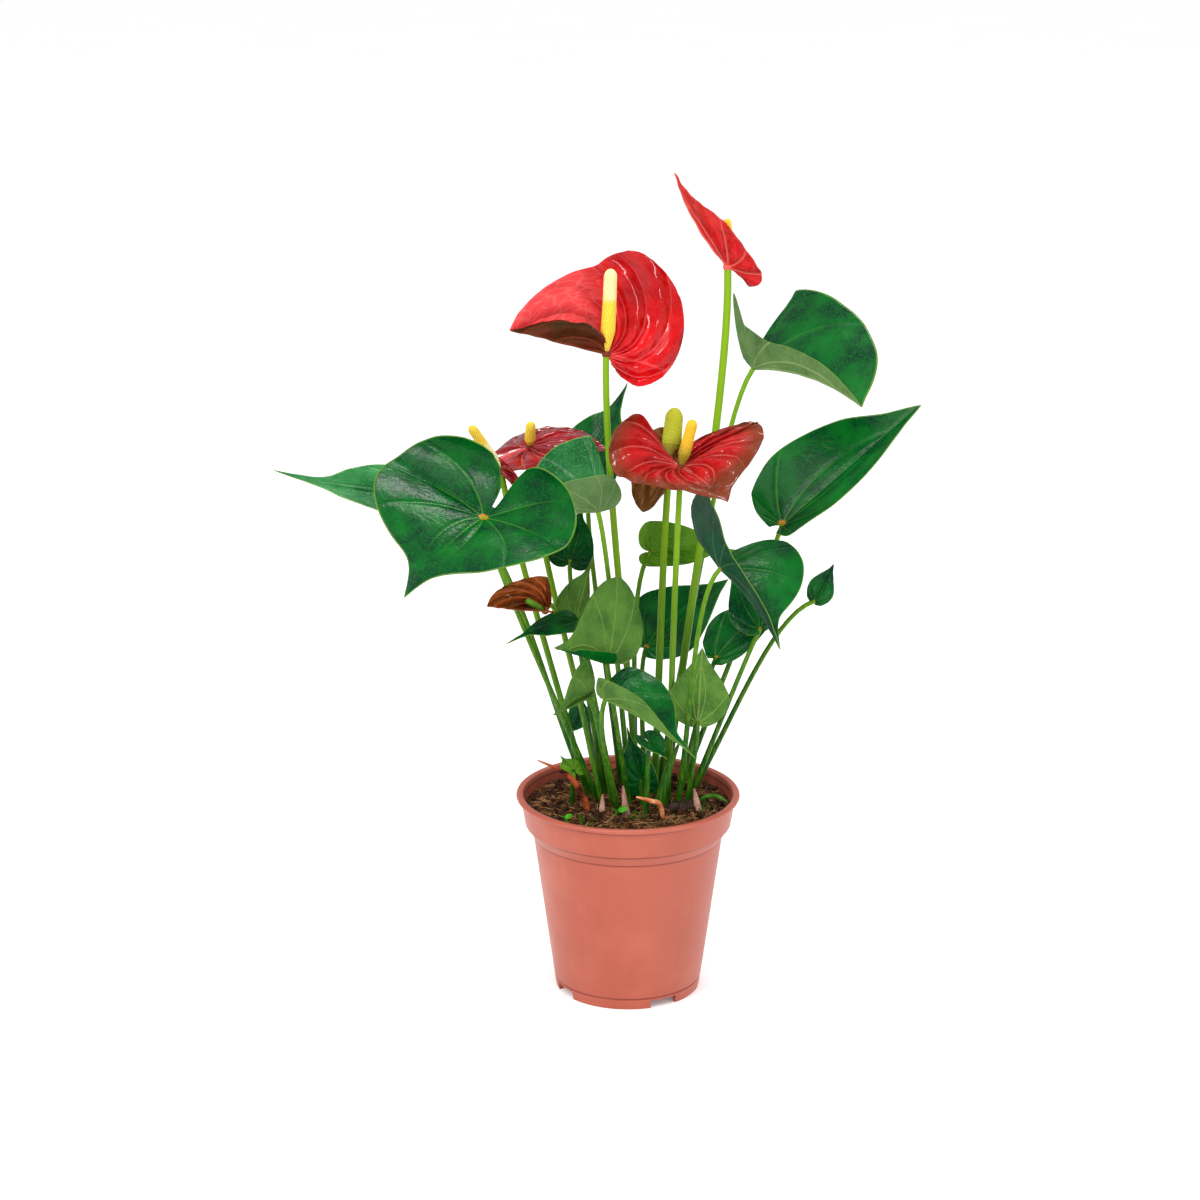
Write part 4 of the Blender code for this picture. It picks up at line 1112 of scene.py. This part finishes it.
SPADIX_SKINS = {
    "yellow": ((0.8, 0.48, 0.01), (0.84, 0.58, 0.02), (0.9, 0.76, 0.2), 0.2, 0.8),
    "cream_top": ((0.82, 0.58, 0.01), (0.84, 0.76, 0.44), (0.9, 0.78, 0.22), 0.6, 0.72),
    "cream_low": ((0.82, 0.74, 0.48), (0.82, 0.52, 0.01), (0.88, 0.76, 0.24), 0.45, 0.6),
    "green_foot": ((0.2, 0.22, 0.01), (0.84, 0.48, 0.015), (0.88, 0.62, 0.08), 0.2, 0.6),
    "green": ((0.22, 0.17, 0.02), (0.38, 0.42, 0.015), (0.46, 0.5, 0.05), 0.1, 0.45),
    "young": ((0.04, 0.26, 0.01), (0.1, 0.38, 0.02), (0.18, 0.48, 0.05), 0.1, 0.9),
}
skins = {key: floret_skin("spadix_" + key, *look) for key, look in SPADIX_SKINS.items()}
bloom_green = stalk_green("bloom_green", (0.02, 0.12, 0.004), (0.19, 0.36, 0.005), 0.13, 0.27)

# A bloom's row has what a leaf's has, and curl cups a half (degrees). rib is how high the ribs stand, bend
# and close set how far the veins curve and how close they run, and matt_and_painted_sheen names the half
# that is matt and painted pink as sheen, with the angle where that is full and the angle where it ends.
# look names the finishes of the front and the back. spadix is the place of the spadix's tip, fat its
# radius, bow how far it leans at mid length, knobs how far its florets stand out and skin its finish. stem
# is the radius of the bloom's stem.
BLOOMS = {
    "flower_1": dict(
        attach=(-11.9, 0, 348.6), tip=(-60.9, -10, 363.4), face=(.1, .1, 1), outline=("narrow", "wrapped"),
        wide=1.0, fold=(60, 76), curl=(0, 8), lobe=1.0, rib=.6, bend=1.6, close=1.25, matt_and_painted_sheen=(1, 48, 82),
        root=(5, -9), neck=(-1, 0, -60), stem=1.75, spadix=(-9.4, -3, 393.3), fat=3.8, bow=(.3, -1.3, 0),
        skin="cream_top"),
    "flower_2": dict(
        attach=(50.5, 10, 392), tip=(23, 6, 440.9), face=(.9, 0, .45), outline="long", wide=(.56, .46),
        fold=60, arch=-26, lobe=.75, nod=-10, rib=.5, root=(19, 2), neck=(2, 0, -60), stem=2.0,
        spadix=(50, 10, 417), fat=2.4, bow=(.8, -.5, 0), look=("red_face", "bright_back")),
    "flower_3": dict(
        attach=(26.5, -20, 293.8), tip=(49.2, -58, 285.7), face=(0, -.3, .95), wide=(1.6, 1.3),
        fold=(15, 12), arch=6, lobe=(.55, 1.7), nod=50, heel=8, rib=.8, bend=1.2, close=1.4,
        root=(20, -12), neck=(-3, 0, -60), stem=1.6, spadix=(32.5, -22, 319.1), fat=3.2, skin="green_foot",
        look=("tanned_face", "red_back")),
    "flower_4": dict(
        attach=(21.8, 16, 290), tip=(7.1, 8, 262.5), face=(-.5, -.6, .4), outline="hooded", wide=.8,
        fold=20, curl=20, lobe=.8, nod=-10, rib=.5, bend=1.0, close=1.5, root=(13, -5), neck=(-4, 0, -50),
        stem=1.9, spadix=(24.3, 20, 315.8), fat=5.4, knobs=.15, skin="green",
        look=("copper_back", "copper_back")),
    "flower_5": dict(
        attach=(-52, 22, 294), tip=(-7, 10, 295), face=(0, -.1, 1), wide=(.85, .9), fold=(4, -6), arch=26,
        lobe=1.0, nod=-10, rib=.6, matt_and_painted_sheen=(1, 150, 110), root=(-14, 4), neck=(2, 0, -50), stem=1.6,
        spadix=(-51.1, 16, 309), fat=2.9, look=("dark_face", "red_back")),
    "flower_6": dict(
        attach=(-66, -14, 291), tip=(-45.7, -18, 270), face=(.5, -.1, .8), wide=.4, fold=10, arch=10,
        lobe=1.0, rib=.4, root=(-21, -7), neck=(6, 0, -40), stem=1.6, spadix=(-81, -24, 316.1), fat=2.8,
        skin="cream_low", look=("dark_face", "red_back")),
    "flower_7": dict(
        attach=(-43, -48, 225), tip=(-72.3, -56, 230.1), face=(0, -.1, 1), outline=("spathe", "hooded"),
        wide=(.5, .85), fold=(20, 58), lobe=.25, nod=20, rib=.3, bend=1.2, close=2.0, root=(-13, -21),
        neck=(7, 24, 12), stem=1.4, spadix=(-52.6, -54, 232.7), fat=1.7, skin="young",
        look=("copper_face", "copper_back")),
}


def make_spathe(node, row):
    """The spathe with the collar that holds it on the stem."""
    outlines = [SPATHE_OUTLINES[half(row, "outline", side, "spathe")] for side in (0, 1)]
    grid = LARGE_SPATHE_GRID if midrib_length(row) > LARGE_SPATHE else SMALL_SPATHE_GRID
    name = node + "_spathe_fine"
    spathe = blade_sheet(name, row, outlines, grid, SPATHE_SWELL * row["rib"], SPATHE_WAVE, SPATHE_WAVES)
    look = row.get("look", ("red_face", "red_back"))
    thicken(spathe, SPATHE_THICKNESS, *(spathe_faces[key] for key in look))
    head = Vector(row["attach"])
    neck = Vector(row["neck"]).normalized() * COLLAR_HEIGHT * 0.5
    axis = (Vector(row["spadix"]) - head).normalized() * COLLAR_HEIGHT * 0.5
    wide = row["stem"] + 0.5
    collar = thread(node + "_collar", [head + neck, head + neck * 0.5, head, head + axis * 0.5, head + axis],
                    [wide * 0.85, wide, wide, wide, wide * 0.8], ROUND_ROD)
    dress(collar, spathe_faces[look[1]])
    slot = "spathe_copper" if look[1] == "copper_back" else "spathe_red"
    add_to_part(join_up((spathe, collar), name), slot, node + "_spathe")


def make_spadix(node, row):
    """The finger of florets, from the collar to its rounded tip."""
    head = Vector(row["attach"])
    tip = Vector(row["spadix"])
    axis = (tip - head).normalized()
    start = head + axis * (COLLAR_HEIGHT / 2 + 0.1)
    length = (tip - start).length
    side = axis.orthogonal().normalized()
    other = axis.cross(side)
    tiers = round(length / FLORET_PITCH)
    blunt = min(0.5, 1.1 * row["fat"] / length)
    knobs = []

    def place(u, v):
        swell = FINGER_FOOT + (1 - FINGER_FOOT) * min(1.0, v * 4) ** 0.8
        closing = math.sqrt(max(0.0, 1 - max(0.0, (v - 1) / blunt + 1) ** 2))
        radius = row["fat"] * swell * (1 - FINGER_TAPER * v)
        # florets in a lattice that winds up the finger
        first = math.sin(math.pi * (u * FLORETS_ROUND + v * tiers))
        second = math.sin(math.pi * (u * FLORETS_ROUND - v * tiers))
        knob = abs(first * second)
        knobs.append(knob)
        radius = (radius + row.get("knobs", FLORET_HEIGHT) * (knob - 0.5)) * closing
        angle = 2 * math.pi * u
        bow = Vector(row.get("bow", (0, 0, 0))) * math.sin(math.pi * min(1.0, v * 1.2))
        return start + axis * length * v + bow + (side * math.cos(angle) + other * math.sin(angle)) * radius

    rows = max(FEWEST_ROWS, tiers * FLORET_POINTS)
    spadix = spread_grid(node + "_spadix_fine", FLORETS_ROUND * FLORET_POINTS, rows, place)
    keep_values(spadix, "floret", knobs)
    close_up(spadix)
    edit_all(spadix)
    fill_open_ends()
    bpy.ops.object.mode_set(mode='OBJECT')
    dress(spadix, skins[row.get("skin", "yellow")])
    add_to_part(spadix, "spadix_yellow", node + "_spadix")


def make_bloom_stem(node, row):
    """The stem, up to just below the collar."""
    head = Vector(row["attach"]) + Vector(row["neck"]).normalized() * (COLLAR_HEIGHT / 2 + 0.1)
    points = rise_from_soil(row["root"], head, row["neck"], BLOOM_STEM_STEPS)
    radii = [row["stem"] * share for share in spread_values(STEM_TAPER, len(points))]
    stem = thread(node + "_stem_fine", points[:-1], radii[:-1], ROUND_ROD)
    dress(stem, bloom_green)
    add_to_part(stem, "stem_green", node + "_stem")


for node, row in BLOOMS.items():
    make_bloom_stem(node, row)
    make_spathe(node, row)
    make_spadix(node, row)

# The crown's small growth: pinkish papery sheaths round the stems' feet, dry curled bracts, one thick
# new shoot, seedling weeds and a blade of grass. Each is drawn along its own line and tapers.
SHOOTS = {
    "shoot_new": dict(
        route=((15, -16, 90), (16, -16, 106), (21, -14, 126), (27, -13, 142)), radii=(3.4, 3.2, 2.2, 0.5)),
    "sheath_pink_1": dict(route=((-14, -23, 92), (-14, -23, 104), (-13.6, -22, 116)), radii=(2.0, 2.2, 0.5)),
    "sheath_pink_2": dict(route=((-1, -26, 92), (-1, -26, 104), (-3, -25, 122)), radii=(2.2, 2.6, 0.5)),
    "sheath_pink_3": dict(route=((37, -14, 92), (37, -14, 104), (35, -13, 116)), radii=(2.0, 2.4, 0.5)),
    "bract_dry": dict(
        route=((-22, -19, 92), (-22, -19, 108), (-31, -22, 126), (-48, -24, 136)),
        radii=(1.7, 1.9, 1.5, 0.3)),
    "bract_orange": dict(
        route=((20, -28, 92), (17, -30, 112), (12, -32, 116), (4, -34, 119)), radii=(1.1, 1.3, 1.4, 0.4)),
    "weed_1": dict(route=((-7, -29, 94), (-7, -29, 106), (-5, -31, 110)), radii=(0.6, 0.7, 0.9)),
    "weed_2": dict(route=((-32, -40, 94), (-32, -40, 104), (-33, -41, 110)), radii=(0.5, 0.6, 0.8)),
    "grass_blade": dict(
        route=((37, -5, 94), (38, -5, 106), (46, -8, 110), (53, -12, 108)), radii=(0.6, 0.9, 1.2, 0.3)),
}

SEED_LEAVES = {"weed_1": 2.6, "weed_2": 2.1}
SEED_LEAF_TURNS = (0.6, 0.6 + math.pi * 0.8)
SEED_LEAF_TILT = 0.35
# a seed leaf's way out from the weed's head, its width and thickness, and its rise, as shares
SEED_LEAF_OUT = 0.8
SEED_LEAF_WIDE = 0.85
SEED_LEAF_THICK = 0.1
SEED_LEAF_RISE = 0.35
# each tuft of moss has its middle, its count of threads and its seed
MOSS = (("moss_front", (2, -30), 22, 41), ("moss_right", (38, -12), 34, 42),
        ("moss_left", (-22, -34), 12, 43))
MOSS_SPREAD = 3.0
MOSS_SHARES = (0, 0.35, 0.7, 1.0)
MOSS_RADII = (0.28, 0.24, 0.18, 0.08)
SHOOT_STEPS = 6

sheath_paper = litter("sheath_paper", ((0.36, 0.15, 0.12), (0.62, 0.38, 0.3)), 0.75, 160.0)
bract_paper = litter("bract_paper", ((0.02, 0.004, 0.004), (0.5, 0.095, 0.03)), 0.6, 110.0)
bract_bright = litter("bract_bright", ((0.5, 0.06, 0.03), (0.85, 0.42, 0.18)), 0.55, 110.0)
weed_green = litter("weed_green", ((0.03, 0.2, 0.008), (0.08, 0.34, 0.016)), 0.5, 120.0)
moss_green = litter("moss_green", ((0.02, 0.11, 0.008), (0.08, 0.24, 0.018)), 0.7, 120.0)
SHOOT_LOOKS = {"shoot_new": (petiole_green, "stem_green"), "bract_dry": (bract_paper, "bract_brown"),
               "bract_orange": (bract_bright, "bract_brown"), "sheath": (sheath_paper, "sheath_pink"),
               "weed": (weed_green, "stem_green"), "grass": (moss_green, "stem_green")}


def through(points, steps):
    """More points on a smooth line through the given ones."""
    dense = []
    for i in range(len(points) - 1):
        before = Vector(points[max(i - 1, 0)])
        a = Vector(points[i])
        b = Vector(points[i + 1])
        after = Vector(points[min(i + 2, len(points) - 1)])
        for k in range(steps):
            dense.append(ease_along(a, b, (b - before) * 0.5, (after - a) * 0.5, k / steps))
    dense.append(Vector(points[-1]))
    return dense


def seed_leaves(node, head, size):
    """The two round seed leaves at a weed's head."""
    made = []
    for turn in SEED_LEAF_TURNS:
        let_go()
        bpy.ops.mesh.primitive_uv_sphere_add(segments=12, ring_count=6, radius=size * MM)
        leaf = bpy.context.object
        for vertex in leaf.data.vertices:
            vertex.co.x += size * MM * SEED_LEAF_OUT
            vertex.co.y *= SEED_LEAF_WIDE
            vertex.co.z = vertex.co.z * SEED_LEAF_THICK + vertex.co.x * SEED_LEAF_RISE
        leaf.rotation_euler = (SEED_LEAF_TILT, 0, turn)
        leaf.location = Vector(head) * MM
        settle(leaf)
        made.append(leaf)
    piece = join_up(made, node + "_seed_leaves")
    bpy.ops.object.shade_smooth()
    dress(piece, weed_green)
    add_to_part(piece, "stem_green")


def moss(name, middle, count, seed):
    """A tuft of fine green moss threads."""
    rng = random.Random(seed)
    made = []
    for _ in range(count):
        x = middle[0] + rng.gauss(0, MOSS_SPREAD)
        y = middle[1] + rng.gauss(0, MOSS_SPREAD)
        z = ground_height(x, y)
        lean = (rng.uniform(-3, 3), rng.uniform(-3, 1), rng.uniform(2.0, 6.0))
        points = [(x + lean[0] * t * t, y + lean[1] * t * t, z - 0.5 + lean[2] * t) for t in MOSS_SHARES]
        made.append(thread(name, points, MOSS_RADII, THIN_ROD))
    piece = join_up(made, name)
    dress(piece, moss_green)
    add_to_part(piece, "stem_green")


for name, middle, count, seed in MOSS:
    moss(name, middle, count, seed)
for node, size in SEED_LEAVES.items():
    seed_leaves(node, SHOOTS[node]["route"][-1], size)

for node, row in SHOOTS.items():
    points = through(row["route"], SHOOT_STEPS)
    shoot = thread(node + "_fine", points, spread_values(row["radii"], len(points)), ROUND_ROD)
    look = next(value for key, value in SHOOT_LOOKS.items() if node.startswith(key))
    dress(shoot, look[0])
    add_to_part(shoot, look[1], node)

# The stage: a pale seamless sheet under and behind the plant, big soft lights, and a camera that looks
# down a little, as in the picture.
CAMERA_PLACE = (-0.015, -1.537, 0.672)
CAMERA_PITCH = 16.5
LENS = 91.4
PAPER_SIZE = 60
PAPER_GLOW = 0.14
PLANT_MIDDLE = (0, 0, 0.25)
DAYLIGHT = 0.6
SKY_POWER = 1.2
SKY_SPREAD = 50
SKY_TURN = (28, -22, 0)
SENSOR_WIDTH = 36.0
FAR_END = 100


def pale_paper():
    """Matt white paper, lit through a little, so that it stays white behind the plant."""
    mat, tree, shader = new_material("studio_paper", 0.9, specular=0.1)
    grain = cloud(place_of(tree), 4.0, 2.0)
    put(shader.inputs["Base Color"], blend_colour(grain, (0.93, 0.93, 0.93), (0.95, 0.95, 0.95)))
    shader.inputs["Emission Color"].default_value = (1, 1, 1, 1)
    shader.inputs["Emission Strength"].default_value = PAPER_GLOW
    return mat


let_go()
bpy.ops.mesh.primitive_plane_add(size=PAPER_SIZE, location=(0, 0, 0))
floor = bpy.context.object
floor.name = "studio_floor"
dress(floor, pale_paper())


def soft_light(name, place, size, power):
    """A soft white light of a width and height in metres, turned to the plant."""
    data = bpy.data.lights.new(name, 'AREA')
    data.shape = 'RECTANGLE'
    data.size, data.size_y = size
    data.energy = power
    light = bpy.data.objects.new(name, data)
    bpy.context.collection.objects.link(light)
    light.location = place
    direction = Vector(PLANT_MIDDLE) - Vector(place)
    light.rotation_euler = direction.to_track_quat('-Z', 'Y').to_euler()


soft_light("key_left", (-1.1, -1.3, 1.3), (0.26, 0.7), 13)
soft_light("fill_right", (1.3, -1.0, 0.8), (0.12, 0.6), 6)
soft_light("sheen_top", (0.2, 0.5, 1.5), (0.6, 0.14), 8)
soft_light("front_top", (0.25, -1.3, 1.6), (0.45, 0.1), 6)

sky = bpy.data.objects.new("even_top", bpy.data.lights.new("even_top", 'SUN'))
bpy.context.collection.objects.link(sky)
sky.data.energy = SKY_POWER
sky.data.angle = math.radians(SKY_SPREAD)
sky.rotation_euler = [math.radians(degrees) for degrees in SKY_TURN]

world = bpy.data.worlds.new("studio")
bpy.context.scene.world = world
world.use_nodes = True
world.node_tree.nodes["Background"].inputs["Color"].default_value = (1, 1, 1, 1)
world.node_tree.nodes["Background"].inputs["Strength"].default_value = DAYLIGHT
bpy.context.scene.view_settings.view_transform = 'Standard'

camera = bpy.data.objects.new("camera", bpy.data.cameras.new("camera"))
bpy.context.collection.objects.link(camera)
camera.location = CAMERA_PLACE
camera.rotation_euler = (math.radians(90 - CAMERA_PITCH), 0, 0)
camera.data.lens = LENS
camera.data.sensor_width = SENSOR_WIDTH
camera.data.clip_end = FAR_END
bpy.context.scene.camera = camera

bpy.context.view_layer.update()
